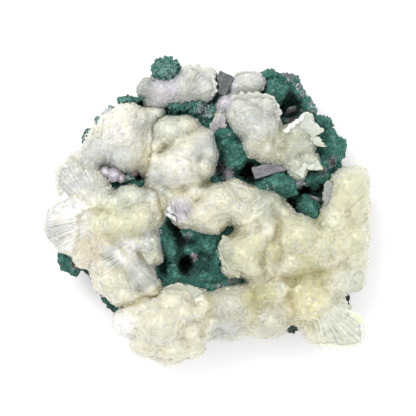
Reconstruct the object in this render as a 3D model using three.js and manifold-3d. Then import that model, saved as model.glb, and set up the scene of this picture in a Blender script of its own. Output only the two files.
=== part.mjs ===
// A stilbite specimen: domes and sheaves of cream stilbite on a green celadonite crust over dark basalt.
// Millimetres, +Z up. The specimen lies on the flat cut back of its basalt, and its crystals face up.
// The origin is under the middle of its box, on the surface that it lies on.
import * as THREE from "three";
import { mergeVertices } from "three/addons/utils/BufferGeometryUtils.js";
import Module from "manifold-3d";

const wasm = await Module();
wasm.setup();

// Driving dimensions
const GAP = 0.35; // between two pieces that touch
const GOLDEN_TURN = Math.PI * (3 - Math.sqrt(5)); // spreads points evenly round a dome
const UNDERCUT = 2; // how much wider the rim grows than other faces, because its walls lean out
const CRUST_LINING = 3; // crust left on the walls of a hollow in the basalt
const PLATE_CENTRE = [0, -2];
const PLATE_SPOKES = 26;
const BED = 34; // height at which stilbite domes are widest
const BIG_MOUND = { spokes: 17, levels: [-12, 14, 34, 54, 73] }; // levels are degrees above its middle
const SMALL_MOUND = { spokes: 11, levels: [-12, 20, 46, 70] };

// The specimen's rim, anticlockwise from its right-hand side, as X and Y
const RIM = [
  [81, -18], [80, 4], [72, 18], [69, 32], [60, 45], [52, 55], [42, 65], [26, 65.5], [8, 65], [-10, 66],
  [-28, 65], [-38, 55], [-54, 44], [-65, 30], [-74, 10], [-79, -8], [-74, -26], [-64, -34], [-57, -47],
  [-46, -60], [-36, -71], [-20, -74], [0, -66], [22, -61], [41, -58], [54, -65], [70, -66], [75, -48],
];

// Levels of the basalt and of the crust on it: share of the rim's reach, and height
const BASALT_RINGS = [
  { reach: 0.8, z: 0, relief: 0 },
  { reach: 0.925, z: 9, relief: 1.2 },
  { reach: 0.955, z: 21, relief: 1.8 },
  { reach: 0.84, z: 25, relief: 1.5 },
];
const CRUST = {
  foot: 6, tuck: 20, lip: 0.5, reach: 0.95, edge: 30, level: 36, relief: 1.9,
  rimPoints: 36, spacing: 13, nearest: 2.6,
};

// A repeatable stream of random numbers from 0 to 1
function stream(seed) {
  let state = seed >>> 0;
  return () => {
    state = (state + 0x6d2b79f5) >>> 0;
    let t = state;
    t = Math.imul(t ^ (t >>> 15), t | 1);
    t ^= t + Math.imul(t ^ (t >>> 7), t | 61);
    return ((t ^ (t >>> 14)) >>> 0) / 4294967296;
  };
}

// A low swell of the rock, from about -1 to 1
function swell(x, y) {
  return (
    0.5 * Math.sin(0.11 * x + 1.3) * Math.cos(0.13 * y - 0.4) +
    0.3 * Math.sin(0.29 * x - 0.21 * y) +
    0.2 * Math.cos(0.37 * y + 0.31 * x + 2)
  );
}

// A closed three.js geometry as a solid
function solidOf(geometry) {
  const bare = geometry.index ? geometry.toNonIndexed() : geometry.clone();
  bare.deleteAttribute("normal");
  bare.deleteAttribute("uv");
  const merged = mergeVertices(bare, 1e-4);
  return new wasm.Manifold(
    new wasm.Mesh({
      numProp: 3,
      vertProperties: new Float32Array(merged.attributes.position.array),
      triVerts: new Uint32Array(merged.index.array),
    }),
  );
}

// A solid as a flat-faced three.js geometry
function geometryOf(solid) {
  const mesh = solid.getMesh();
  const indexed = new THREE.BufferGeometry();
  indexed.setAttribute("position", new THREE.BufferAttribute(mesh.vertProperties, 3));
  indexed.setIndex(new THREE.BufferAttribute(mesh.triVerts, 1));
  const flat = indexed.toNonIndexed();
  flat.computeVertexNormals();
  return flat;
}

// Several solids joined in one
function join(solids) {
  return solids.reduce((whole, next) => whole.add(next));
}

// The largest closed body of a solid, without crumbs that a cut leaves
function mainBody(solid) {
  return solid.decompose().reduce((best, next) => (next.volume() > best.volume() ? next : best));
}

// The specimen's rim as a closed curve
function rimCurve() {
  return new THREE.CatmullRomCurve3(RIM.map(([x, y]) => new THREE.Vector3(x, y, 0)), true, "centripetal");
}

// Delaunay triangles of points whose u and v lie in the unit circle, as anticlockwise triples
function triangulate(points) {
  const random = stream(77);
  const nudge = () => 8e-4 * random(); // so that no four points lie on one circle
  const far = [{ u: -300, v: -310 }, { u: 320, v: -300 }, { u: 10, v: 400 }];
  const all = [...points, ...far].map((at) => ({ u: at.u + nudge(), v: at.v + nudge() }));
  const n = points.length;
  const circle = ([a, b, c]) => {
    const [p, q, r] = [all[a], all[b], all[c]];
    const twice = 2 * (p.u * (q.v - r.v) + q.u * (r.v - p.v) + r.u * (p.v - q.v));
    const [pp, qq, rr] = [p, q, r].map((at) => at.u * at.u + at.v * at.v);
    const u = (pp * (q.v - r.v) + qq * (r.v - p.v) + rr * (p.v - q.v)) / twice;
    const v = (pp * (r.u - q.u) + qq * (p.u - r.u) + rr * (q.u - p.u)) / twice;
    return { corners: [a, b, c], u, v, square: (p.u - u) ** 2 + (p.v - v) ** 2 };
  };
  let triangles = [circle([n, n + 1, n + 2])];
  all.slice(0, n).forEach((at, i) => {
    const broken = triangles.filter((t) => (at.u - t.u) ** 2 + (at.v - t.v) ** 2 < t.square);
    triangles = triangles.filter((t) => !broken.includes(t));
    const edges = broken.flatMap(({ corners: [a, b, c] }) => [[a, b], [b, c], [c, a]]);
    for (const [a, b] of edges) {
      if (!edges.some(([c, d]) => c === b && d === a)) triangles.push(circle([a, b, i]));
    }
  });
  return triangles.filter((t) => t.corners.every((corner) => corner < n)).flatMap((t) => t.corners);
}

// A rock slab built up from rings that follow the rim, with a flat bottom
function slab(rings, grow = 0) {
  const curve = rimCurve();
  const [cx, cy] = PLATE_CENTRE;
  const points = [];
  rings.forEach((ring, level) => {
    for (let i = 0; i < PLATE_SPOKES; i++) {
      const at = curve.getPoint((i + (level % 2) * 0.5) / PLATE_SPOKES);
      const length = Math.hypot(at.x - cx, at.y - cy);
      const uneven = 1 + 0.012 * ring.relief * swell(3 * at.x, 3 * at.y + 40 * level);
      const reach = ring.reach * uneven + (UNDERCUT * grow) / length;
      const x = cx + (at.x - cx) * reach;
      const y = cy + (at.y - cy) * reach;
      points.push([x, y, ring.z + ring.relief * swell(x, y) + (level ? grow : -grow)]);
    }
  });
  const last = rings[rings.length - 1];
  points.push([cx, cy, rings[0].z - grow], [cx, cy, last.z + last.relief * swell(cx, cy) + grow]);
  const geometry = new THREE.BufferGeometry();
  geometry.setAttribute("position", new THREE.Float32BufferAttribute(points.flat(), 3));
  geometry.setIndex(ringFaces(rings.length, PLATE_SPOKES));
  return solidOf(geometry);
}

// A coarse dome. Its values are the middle in X and Y, the height of its top, its half sizes in X and Y,
// the height of its lowest point and its turn about Z in degrees.
function dome([x, y, top, halfX, halfY, bottom, turn = 0], grow = 0) {
  const ball = new THREE.IcosahedronGeometry(1);
  ball.scale(halfX + grow, halfY + grow, (top - bottom) / 2 + grow);
  ball.rotateZ(THREE.MathUtils.degToRad(turn)).translate(x, y, (top + bottom) / 2);
  return solidOf(ball);
}

// How far a ray from a point goes before it leaves a dome for the last time, or 0 where it misses
function wayOut(from, along, [x, y, top, halfX, halfY, bottom, turn = 0]) {
  const spin = -THREE.MathUtils.degToRad(turn);
  const halfZ = (top - bottom) / 2;
  const local = ([a, b, c]) => [
    (a * Math.cos(spin) - b * Math.sin(spin)) / halfX,
    (a * Math.sin(spin) + b * Math.cos(spin)) / halfY,
    c / halfZ,
  ];
  const p = local([from[0] - x, from[1] - y, from[2] - (top + bottom) / 2]);
  const d = local(along);
  const dot = (u, v) => u[0] * v[0] + u[1] * v[1] + u[2] * v[2];
  const [a, b, c] = [dot(d, d), dot(p, d), dot(p, p) - 1];
  const inside = b * b - a * c;
  return inside < 0 ? 0 : Math.max(0, (-b + Math.sqrt(inside)) / a);
}

// One faceted body that follows the outside of several domes, as rays from its middle find it.
// Its vertices are a little rough, so that its facets read as crystal faces.
function mound(domes, { spokes, levels }, grow = 0, rough = 0.035) {
  const share = domes.map((at) => at[3] * at[4]);
  const all = share.reduce((sum, value) => sum + value);
  const mean = (k) => domes.reduce((sum, at, i) => sum + at[k] * share[i], 0) / all;
  const middle = [mean(0), mean(1), (mean(2) + mean(5)) / 2];
  const random = stream(Math.round(900 + domes[0][0] * 53 + domes[0][1] * 29));
  const points = [];
  const reachOf = (along) => Math.max(...domes.map((at) => wayOut(middle, along, at)), 1);
  const put = (along, push) => {
    const reach = reachOf(along) * push + grow;
    points.push(...along.map((value, k) => middle[k] + value * reach));
  };
  levels.forEach((level, row) => {
    const rise = THREE.MathUtils.degToRad(level);
    for (let i = 0; i < spokes; i++) {
      const round = ((i + (row % 2) / 2) * 2 * Math.PI) / spokes;
      const flat = Math.cos(rise);
      put([flat * Math.cos(round), flat * Math.sin(round), Math.sin(rise)], 1 + rough * (2 * random() - 1));
    }
  });
  put([0, 0, -1], 1);
  put([0, 0, 1], 1);
  const geometry = new THREE.BufferGeometry();
  geometry.setAttribute("position", new THREE.Float32BufferAttribute(points, 3));
  geometry.setIndex(ringFaces(levels.length, spokes));
  return solidOf(geometry);
}

// The faces of a body made of rings of points, its lowest point next to last and its top last
function ringFaces(rings, spokes) {
  const faces = [];
  const bottom = rings * spokes;
  const rim = (rings - 1) * spokes;
  for (let i = 0; i < spokes; i++) {
    const next = (i + 1) % spokes;
    faces.push(bottom, next, i, bottom + 1, rim + i, rim + next);
    for (let level = 0; level + 1 < rings; level++) {
      const [a, b] = [level * spokes + i, level * spokes + next];
      const [c, d] = [a + spokes, b + spokes];
      if (level % 2) faces.push(a, b, d, a, d, c);
      else faces.push(a, b, c, b, d, c);
    }
  }
  return faces;
}

// A flat crystal with a low pointed end, standing along +Z from its foot
function bladeGeometry(width, thick, length, point) {
  const [w, t, shoulder] = [width / 2, thick / 2, length - point];
  const corners = [[-w, -t], [w, -t], [w, t], [-w, t]];
  const ends = [0, shoulder].flatMap((z) => corners.map(([x, y]) => [x, y, z]));
  const points = [...ends, [0, 0, length]];
  const faces = [0, 2, 1, 0, 3, 2];
  for (let i = 0; i < 4; i++) {
    const next = (i + 1) % 4;
    faces.push(i, next, next + 4, i, next + 4, i + 4, i + 4, next + 4, 8);
  }
  const geometry = new THREE.BufferGeometry();
  geometry.setAttribute("position", new THREE.Float32BufferAttribute(points.flat(), 3));
  geometry.setIndex(faces);
  return geometry;
}

// A blade with its foot at one point, pointing along a direction, rolled about its own axis
function blade(foot, along, roll, [width, thick, length, point], grow = 0) {
  const axis = new THREE.Vector3(...along).normalize();
  const turn = new THREE.Quaternion().setFromUnitVectors(new THREE.Vector3(0, 0, 1), axis);
  const geometry = bladeGeometry(width + 2 * grow, thick + 2 * grow, length + grow, point);
  geometry.rotateZ(roll).applyQuaternion(turn).translate(...foot);
  return solidOf(geometry);
}

// Blades that break the surface of a dome all round, fanned out from its foot
function bladesOn([x, y, top, halfX, halfY, bottom, turn = 0], count, grow) {
  const random = stream(Math.round(500 + x * 37 + y * 11));
  const halfZ = (top - bottom) / 2;
  const spin = THREE.MathUtils.degToRad(turn);
  return Array.from({ length: count }, (_, i) => {
    const high = 0.12 + (0.8 * (i + 0.5)) / count;
    const round = i * GOLDEN_TURN + random();
    const flat = Math.sqrt(1 - high * high);
    const [ux, uy] = [flat * Math.cos(round) * halfX, flat * Math.sin(round) * halfY];
    const [east, north] = [Math.cos(spin), Math.sin(spin)];
    const out = [ux * east - uy * north, ux * north + uy * east, high * halfZ];
    const foot = [x + out[0] * BLADE.from, y + out[1] * BLADE.from, (top + bottom) / 2 + out[2] * BLADE.from];
    const length = Math.hypot(...out) * (1 - BLADE.from) + BLADE.proud * (1 + random() / 2);
    return blade(foot, out, random() * Math.PI, [BLADE.width, BLADE.thick, length, BLADE.point], grow);
  });
}

// A short six-sided crystal with a pyramid on its end
function prism([x, y, foot, radius, length, leanX, leanY], grow = 0) {
  const r = radius + grow;
  const profile = [[0, 0], [r, 0], [r, length - radius], [0.15 * r, length + grow], [0, length + grow]];
  const geometry = new THREE.LatheGeometry(profile.map(([a, b]) => new THREE.Vector2(a, b)), 6);
  geometry.rotateX(Math.PI / 2).rotateY(THREE.MathUtils.degToRad(leanX));
  geometry.rotateX(THREE.MathUtils.degToRad(leanY)).translate(x, y, foot);
  return solidOf(geometry);
}

// A flat slanted tablet of crystal
function tablet([x, y, z, sizeX, sizeY, sizeZ, turnX, turnZ], grow = 0) {
  const geometry = new THREE.BoxGeometry(sizeX + 2 * grow, sizeY + 2 * grow, sizeZ + 2 * grow);
  geometry.rotateX(THREE.MathUtils.degToRad(turnX)).rotateZ(THREE.MathUtils.degToRad(turnZ)).translate(x, y, z);
  return solidOf(geometry);
}

// Small round knobs spread over the upper half of a dome, as domes
function knobsOn([x, y, top, halfX, halfY, bottom], count, size) {
  const halfZ = (top - bottom) / 2;
  const middle = (top + bottom) / 2;
  return Array.from({ length: count }, (_, i) => {
    const high = (0.9 * (i + 0.5)) / count;
    const round = i * GOLDEN_TURN;
    const flat = Math.sqrt(1 - high * high);
    const z = middle + high * halfZ;
    const [dx, dy] = [flat * Math.cos(round) * halfX, flat * Math.sin(round) * halfY];
    return [x + dx, y + dy, z + size, size, size, z - size];
  });
}

// Hollows that go down through the crust: middle, half sizes, lowest point and turn
const HOLLOW_TOP = 60; // well above the crust
const HOLLOWS = [
  [-10.5, -27.5, 4.2, 5.6, 9, 10],
  [-15, -12, 3.6, 8.5, 15, 38],
  [3, -27, 3.4, 4.2, 17, 0],
  [40, 49, 3.6, 7.5, 24, -25],
  [49, 8.5, 4.5, 3.2, 10, 0],
  [42.5, 1.5, 4.2, 3.6, 13, -20],
  [21.5, 18.5, 3.2, 5, 10, 0],
];

// Green lumps and fingers of the crust
const CRUST_DOMES = [
  [-20.5, -17, 41, 4.8, 9.5, 14, 28], [-18, -31, 40, 5.5, 8, 14], [-8.5, -11, 38, 7, 6, 14, -20],
  [-10, -19.5, 37, 6.5, 3, 14, 5], [0.5, -17, 42, 5.8, 7.5, 14], [6.5, -14, 40, 3.2, 2.4, 14],
  [6.5, -28, 38, 3.2, 7, 14], [2, -36, 39, 7.5, 5, 14, 20], [-7, -38.5, 32, 6, 3.2, 12],
  [7, 36.5, 41, 7.5, 6.5, 14], [14, 25, 42, 7, 7.5, 14], [21.5, 31, 43, 3.4, 5, 14], [4.5, 29, 36, 5, 6, 14],
  [35.5, 12.5, 44, 10.5, 6.5, 14, 5], [53, 14.5, 40, 8.5, 4, 14, 10], [51, 1, 37, 5.5, 9.5, 12, 35],
  [59, 39.5, 38, 7, 5.5, 12], [63, 32, 41, 8, 9, 12], [67, 26.5, 38, 6.5, 7, 12], [60, 24, 39, 7, 6.5, 12],
  [65, 19, 36, 6.5, 4, 12], [33, 61, 40, 6.5, 7.5, 12], [38, 57, 41, 5, 7.5, 12], [40, 64.5, 38, 7, 4.5, 12],
  [46.5, 61.5, 39, 4, 5, 16], [50.5, 55.5, 38, 3.6, 5.5, 16, 20], [53, 49, 37, 3.6, 5, 16, 20],
  [57, 45, 35, 4.5, 3.5, 16], [-70, -26, 34, 6, 5, 16], [-39, 54.5, 38, 6, 4, 16, 20],
  [-52, 45, 36, 6, 3.5, 16, 45],
  [-61, 36, 34, 3.5, 6, 16, -40], [-38, 15, 40, 6, 4.5, 14], [13.5, 56, 42, 4, 3, 14], [-31, -74, 30, 3, 3, 16],
];

// Stilbite: bodies made of mounds, and mounds made of domes that grew into each other.
// A dome's values are its middle in X and Y, the height of its top, its half sizes and its turn.
const CLUSTERS = {
  stilbite_mass: {
    hollow_sheaf: [
      [19, -24, 61, 13, 11.5, -10], [28, -12.5, 58, 7.5, 8], [10, -22, 53, 6, 7.5], [22, -31.5, 55, 8, 5],
      [24, -20, 46, 15, 13],
    ],
    upper: [
      [-16, 20, 65, 14, 13], [-18, 38, 57, 11, 9], [-2.5, 29, 56, 8, 11, -15], [-27, 29, 50, 6, 7],
      [-25, 18, 53, 6.5, 7], [-8, 42, 50, 6, 4.5], [-12, 27, 46, 18, 18],
    ],
    middle: [
      [7, 1, 63, 16, 13], [-13, 3, 53, 10, 9], [-2, -6, 57, 10, 8, -20], [15.5, 11.5, 48, 5.5, 5],
      [-23, 7, 46, 6, 8], [0, 3, 44, 20, 11],
    ],
    arm: [[30, 3, 57, 10, 8], [22, -5, 54, 8, 8.5], [28, 0, 44, 14, 10]],
    left_yellow: [
      [-45, -7, 62, 18.5, 11.5], [-40, 6, 55, 11, 8.5], [-33, -2, 57, 9, 12], [-56, -19, 53, 9.5, 10.5],
      [-42, -5, 44, 20, 16],
    ],
    left_ridge: [
      [-43, -27, 58, 19, 8, -42], [-29, -21, 49, 7, 8], [-46, -40, 52, 13, 10, -30], [-32, -41, 51, 8, 8],
      [-42, -32, 44, 17, 15],
    ],
    left_white: [
      [-70, -7, 50, 12.5, 13], [-64, 14, 45, 12.5, 10, 15], [-66, -18, 43, 10, 9], [-58, 1, 47, 10, 10],
    ],
    right_inner: [
      [45, -14, 60, 14, 13], [42, -27, 57, 12, 10], [38, -4, 54, 7.5, 7], [57, -20, 53, 11, 13],
      [50, -20, 44, 19, 17], [55, -34, 50, 10, 6],
    ],
    right_fan: [[71, 7, 52, 11.5, 15, 10], [66, -4, 48, 9, 8]],
    right_outer: [[68, -17, 52, 14.5, 13], [66, -34, 44, 13, 10]],
    right_corner: [
      [53, -47, 58, 12.5, 12.5], [66, -57, 48, 11.5, 12], [57, -62, 46, 11, 9.5], [66, -49, 46, 8, 7],
      [58, -52, 40, 14, 13],
    ],
    lower_left: [
      [-24, -59, 60, 18, 17], [-17, -46, 54, 11, 9.5], [-37, -57, 48, 9, 12], [-9.5, -69, 46, 10.5, 9, 20],
      [-2.5, -61, 46, 5.5, 6], [-18, -72, 43, 11, 7], [-31, -67, 44, 9, 8],
    ],
    lower_middle: [
      [12, -50, 54, 14, 11], [0, -50, 45, 7, 7], [13, -38, 43, 7, 5.5], [11, -62, 37, 12, 5.5],
      [10, -50, 42, 17, 13],
    ],
    lower_end: [[32, -58, 51, 10.5, 10.5], [31, -43, 45, 14, 8]],
    upper_left: [
      [-43, 35, 60, 12.5, 17.5, -8], [-40, 48, 53, 10, 8], [-56, 28, 47, 14.5, 9, 50], [-48, 22, 51, 10, 8],
      [-29, 45, 46, 8, 7], [-35, 25, 51, 6.5, 9], [-45, 33, 42, 17, 17],
    ],
  },
  stilbite_upper_right: {
    head: [
      [24, 39, 57, 12.5, 15.5], [16, 50, 53, 9, 7.5], [31, 51.5, 52, 6.5, 8], [29, 26.5, 54, 12, 7.5],
      [25, 38, 44, 15, 16],
    ],
    wing: [
      [43.5, 33, 54, 9.5, 12.5], [50, 24, 50, 9, 6.5, -35], [44, 17.5, 48, 6.5, 6],
      [47.5, 42, 53, 4, 7, -30],
    ],
    top_right: [[20, 62, 46, 9, 7], [12, 60.5, 41, 5, 6], [27, 65, 42, 6, 4]],
    pale_tuft: [[8, 52.5, 47, 3.8, 6.5, -40], [5.5, 45, 43, 3, 5.5]],
  },
  stilbite_top: {
    left: [[-21, 57.5, 48, 10, 8.5], [-30, 59, 43, 6, 8]],
    right: [[-1.5, 60, 52, 8, 9], [-9, 66, 50, 8, 7], [-12, 57, 50, 8, 7], [0, 69, 47, 5, 4.5]],
  },
};
const SMALL_DOME = 90; // below this product of half sizes a mound has fewer facets
// Blades on the first dome of a big mound. They start at a share of the way out from its middle.
const BLADE = { width: 5, thick: 2, point: 2, proud: 1.8, from: 0.55, each: 3 };

// Green knobbly growths that stand on the crust
const KNOB = [[-21, 68.5, 51, 7, 6.2, 20]];
const KNOBS = { each: 9, size: 2.6 };
const KNOBBLY_MOUND = { spokes: 15, levels: [-20, 10, 35, 60] };
const RIDGE = [[-16, 51, 46, 5, 3.6, 20], [-7, 51, 47, 6, 4, 20], [1, 48, 45, 5, 5, 20]];

// Quartz crystals: X, Y, foot, radius, length, lean about Y and lean about X in degrees
const UPPER_CENTRE_QUARTZ = [
  [-9, 45, 26, 3.2, 25, 4, -8], [-4, 41, 26, 3.4, 25, 12, -4], [-1, 44.5, 26, 2.2, 19, 10, -10],
];
const POCKET_QUARTZ = [
  [-50, 17, 24, 3, 18, -8, 4], [-45.5, 18, 24, 3.4, 20, 2, -3], [-42, 15.5, 24, 2.6, 17, 8, 6],
];

// Grey tablets: middle, sizes, turn about X and turn about Z in degrees
const GREY_PLATE = [30, 20.5, 30, 15, 5.5, 20, 12, 12];
const TOP_PLATE = [6.5, 60, 31, 8, 11, 24, -10, -25];

// Loose-standing blades: foot, direction, roll in degrees, then width, thickness, length and point
const CAVITY_BLADES = [
  [[40, 46, 24], [0.15, 0.3, 1], 60, [4.6, 1.7, 17, 3]],
];
const RIGHT_BLADES = [
  [[64, 2, 22], [-0.5, 0.6, 1], 20, [5, 1.8, 24, 3]], [[63, 0, 22], [-0.7, 0.35, 1], 50, [5, 1.8, 22, 3]],
  [[64, -4, 22], [-0.65, 0, 1], 80, [5, 1.6, 22, 3]], [[66, 6, 22], [-0.3, 0.8, 1], 0, [5, 1.8, 23, 3]],
];

const FINISHES = {
  basalt: { color: "#3a3633", roughness: 0.95 },
  celadonite: { color: "#2f7660", roughness: 0.85 },
  stilbite: { color: "#e9e4cb", roughness: 0.4 },
  pale_stilbite: { color: "#dcdbd8", roughness: 0.38 },
  quartz: { color: "#bcb9c0", roughness: 0.25 },
};
for (const finish of Object.values(FINISHES)) finish.metalness = 0;

// Basalt: a slab with the hollows cut wider than they show, so that crust lines their walls
function basalt(grow = 0) {
  const wide = HOLLOWS.map(([x, y, halfX, halfY, bottom, turn]) =>
    dome([x, y, HOLLOW_TOP, halfX, halfY, bottom, turn], CRUST_LINING - grow),
  );
  return slab(BASALT_RINGS, grow).subtract(join(wide));
}

// The height of a dome's outside above a place, or 0 beside it
function heightOf([x, y, top, halfX, halfY, bottom, turn = 0], px, py) {
  const spin = -THREE.MathUtils.degToRad(turn);
  const [dx, dy] = [px - x, py - y];
  const u = (dx * Math.cos(spin) - dy * Math.sin(spin)) / halfX;
  const v = (dx * Math.sin(spin) + dy * Math.cos(spin)) / halfY;
  const rest = 1 - u * u - v * v;
  return rest <= 0 ? 0 : (top + bottom) / 2 + ((top - bottom) / 2) * Math.sqrt(rest);
}

// The height of the crust's top at a place that is a share of the way out to its edge
function crustHeight(x, y, share) {
  const bed = THREE.MathUtils.lerp(CRUST.level, CRUST.edge, share ** 4) + CRUST.relief * swell(x, y);
  const raised = Math.max(bed, ...CRUST_DOMES.map((at) => heightOf(at, x, y)));
  const sunk = HOLLOWS.map(([hx, hy, halfX, halfY, bottom, turn]) => {
    const depth = heightOf([hx, hy, 1, halfX, halfY, -1, turn], x, y);
    return depth ? bottom + (1 - depth) * (raised - bottom) : raised;
  });
  return Math.min(raised, ...sunk);
}

// Crust: a layer with its green lumps and hollows, before the basalt is taken out of it.
// Its points lie close together on each lump and hollow and far apart between them.
function crustBody(grow = 0) {
  const curve = rimCurve();
  const [cx, cy] = PLATE_CENTRE;
  const edge = Array.from({ length: 720 }, (_, i) => curve.getPoint(i / 720));
  const angleOf = (x, y) => Math.atan2(y - cy, x - cx);
  const reachAt = (angle) => {
    const off = (at) => -Math.cos(angleOf(at.x, at.y) - angle);
    const near = edge.reduce((best, at) => (off(at) < off(best) ? at : best));
    return Math.hypot(near.x - cx, near.y - cy) * CRUST.reach;
  };
  const points = [];
  const add = (x, y) => {
    const angle = angleOf(x, y);
    const share = Math.hypot(x - cx, y - cy) / reachAt(angle);
    if (share > 0.95 || points.some((at) => Math.hypot(at.x - x, at.y - y) < CRUST.nearest)) return;
    points.push({ x, y, u: share * Math.cos(angle), v: share * Math.sin(angle), share });
  };
  for (let i = 0; i < CRUST.rimPoints; i++) {
    const angle = (2 * Math.PI * i) / CRUST.rimPoints;
    const reach = reachAt(angle);
    const [u, v] = [Math.cos(angle), Math.sin(angle)];
    points.push({ x: cx + u * reach, y: cy + v * reach, u, v, share: 1 });
  }
  const around = ([x, y, halfX, halfY, turn = 0], share, count) => {
    const spin = THREE.MathUtils.degToRad(turn);
    for (let i = 0; i < count; i++) {
      const angle = (2 * Math.PI * (i + share)) / count;
      const [dx, dy] = [share * halfX * Math.cos(angle), share * halfY * Math.sin(angle)];
      add(x + dx * Math.cos(spin) - dy * Math.sin(spin), y + dx * Math.sin(spin) + dy * Math.cos(spin));
    }
  };
  const ovals = [
    ...HOLLOWS.map(([x, y, halfX, halfY, , turn]) => [x, y, halfX, halfY, turn]),
    ...CRUST_DOMES.map(([x, y, , halfX, halfY, , turn]) => [x, y, halfX, halfY, turn]),
  ];
  ovals.forEach((at) => add(at[0], at[1]));
  ovals.forEach((at) => around(at, 0.62, 5));
  ovals.forEach((at) => around(at, 1.02, 7));
  for (let x = -80; x <= 80; x += CRUST.spacing) {
    for (let y = -80; y <= 80; y += CRUST.spacing) add(x + 3 * swell(y, x), y + 3 * swell(x, y));
  }
  const faces = triangulate(points);
  const rim = CRUST.rimPoints;
  const top = points.map((at) => [at.x, at.y, crustHeight(at.x, at.y, at.share) + 2 * grow]);
  const out = (at, by) => [at[0] + ((at[0] - cx) * by) / 80, at[1] + ((at[1] - cy) * by) / 80];
  const skirt = top.slice(0, rim).map((at) => [...out(at, CRUST.lip + UNDERCUT * grow), at[2] - 2 * grow]);
  const foot = skirt.map((at) => [...out(at, -CRUST.tuck), CRUST.foot - grow]);
  const all = [...top, ...skirt, ...foot, [cx, cy, CRUST.foot - grow]];
  const rows = [0, top.length, top.length + rim];
  for (let i = 0; i < rim; i++) {
    const next = (i + 1) % rim;
    const [a, b, c, d, e, f] = rows.flatMap((row) => [row + i, row + next]);
    faces.push(a, c, d, a, d, b, c, e, f, c, f, d, all.length - 1, f, e);
  }
  const geometry = new THREE.BufferGeometry();
  geometry.setAttribute("position", new THREE.Float32BufferAttribute(all.flat(), 3));
  geometry.setIndex(faces);
  return solidOf(geometry);
}

// One stilbite body: its mounds, with blades breaking through the first dome of each big one
function cluster(mounds, grow = 0) {
  return join(
    Object.values(mounds).flatMap((rows) => {
      const domes = rows.map(([x, y, top, halfX, halfY, turn = 0]) => [x, y, top, halfX, halfY, 2 * BED - top, turn]);
      const small = domes[0][3] * domes[0][4] < SMALL_DOME;
      if (small) return [mound(domes, SMALL_MOUND, grow)];
      return [mound(domes, BIG_MOUND, grow), ...bladesOn(domes[0], BLADE.each, grow)];
    }),
  );
}

// A green knobbly growth
function knobbly(domes, grow = 0) {
  const knobs = domes.flatMap((at) => knobsOn(at, KNOBS.each, KNOBS.size));
  return mound([...domes, ...knobs], KNOBBLY_MOUND, grow, 0.02);
}

// Pieces in the order in which they are fitted: each is cut back from those before it
const pieces = [
  ["basalt_matrix", "basalt", (grow) => basalt(grow)],
  ["celadonite_crust", "celadonite", (grow) => crustBody(grow)],
  ...Object.entries(CLUSTERS).map(([name, mounds]) => [
    name,
    name === "stilbite_top" ? "pale_stilbite" : "stilbite",
    (grow) => cluster(mounds, grow),
  ]),
  ["celadonite_knob", "celadonite", (grow) => knobbly(KNOB, grow)],
  ["celadonite_ridge", "celadonite", (grow) => knobbly(RIDGE, grow)],
  ["quartz_upper_centre", "quartz", (grow) => join(UPPER_CENTRE_QUARTZ.map((at) => prism(at, grow)))],
  ["quartz_left_pocket", "quartz", (grow) => join(POCKET_QUARTZ.map((at) => prism(at, grow)))],
  ["quartz_grey_plate", "quartz", (grow) => tablet(GREY_PLATE, grow)],
  ["quartz_top_plate", "quartz", (grow) => tablet(TOP_PLATE, grow)],
  ["cavity_blade", "quartz", (grow) => join(CAVITY_BLADES.map((at) => blade(...at, grow)))],
  ["right_hollow_blades", "quartz", (grow) => join(RIGHT_BLADES.map((at) => blade(...at, grow)))],
];

const specimen = new THREE.Group();
let taken = null;
for (const [name, finish, make] of pieces) {
  const whole = taken ? make(0).subtract(taken) : make(0);
  const mesh = new THREE.Mesh(geometryOf(mainBody(whole)), new THREE.MeshStandardMaterial(FINISHES[finish]));
  mesh.name = name;
  specimen.add(mesh);
  taken = taken ? taken.add(make(GAP)) : make(GAP);
}

// The origin goes under the middle of the specimen's box
const box = new THREE.Box3().setFromObject(specimen, true);
for (const mesh of specimen.children) {
  mesh.position.set(-(box.min.x + box.max.x) / 2, -(box.min.y + box.max.y) / 2, -box.min.z);
}

export default specimen;
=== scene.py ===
"""A stilbite specimen: domed fans of cream stilbite on green celadonite crust over dark basalt.

The specimen lies on its back and its crystals face up. Lengths in the tables are millimetres, counted
from the middle of the photograph's frame, and everything in Blender is metres in the frame of the CAD.
"""

import logging
import math
from dataclasses import dataclass
from enum import Enum
from typing import Any, Dict, Optional, Sequence, Tuple

import bpy
import numpy as np
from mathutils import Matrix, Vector
from mathutils.kdtree import KDTree


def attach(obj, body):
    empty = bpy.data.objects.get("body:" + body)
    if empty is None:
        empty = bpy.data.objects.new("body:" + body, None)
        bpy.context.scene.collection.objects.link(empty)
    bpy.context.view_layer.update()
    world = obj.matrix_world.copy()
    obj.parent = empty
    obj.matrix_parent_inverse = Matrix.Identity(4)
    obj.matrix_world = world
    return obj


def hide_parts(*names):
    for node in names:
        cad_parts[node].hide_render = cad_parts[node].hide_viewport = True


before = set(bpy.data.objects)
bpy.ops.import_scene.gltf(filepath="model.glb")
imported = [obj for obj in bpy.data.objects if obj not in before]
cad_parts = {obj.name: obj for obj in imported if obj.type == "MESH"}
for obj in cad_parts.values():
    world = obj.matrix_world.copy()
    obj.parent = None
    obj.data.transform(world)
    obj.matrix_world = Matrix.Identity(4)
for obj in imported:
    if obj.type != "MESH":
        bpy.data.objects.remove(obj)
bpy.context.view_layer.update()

LOG = logging.getLogger("stilbite_specimen")

MM = 0.001
PHOTO_MIDDLE = (-0.248, 1.453)  # where the middle of the photograph's frame lies in the CAD, in mm
BED = 34.0  # height at which the stilbite domes are widest, in mm
FRAME_WIDTH = 208.0  # width of the photograph's frame at the height of the crystals, in mm
BRIGHTEST_TONE = 0.96  # no tone is painted lighter than this
BRIGHTEST = 0.97  # nor any point after its shading
TONE_LEVEL = 0.95  # the tones are painted a little darker than their codes, because the light is strong
BLADE_LEVEL = 0.93  # the same for the blades of a spray


# Small tools


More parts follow.
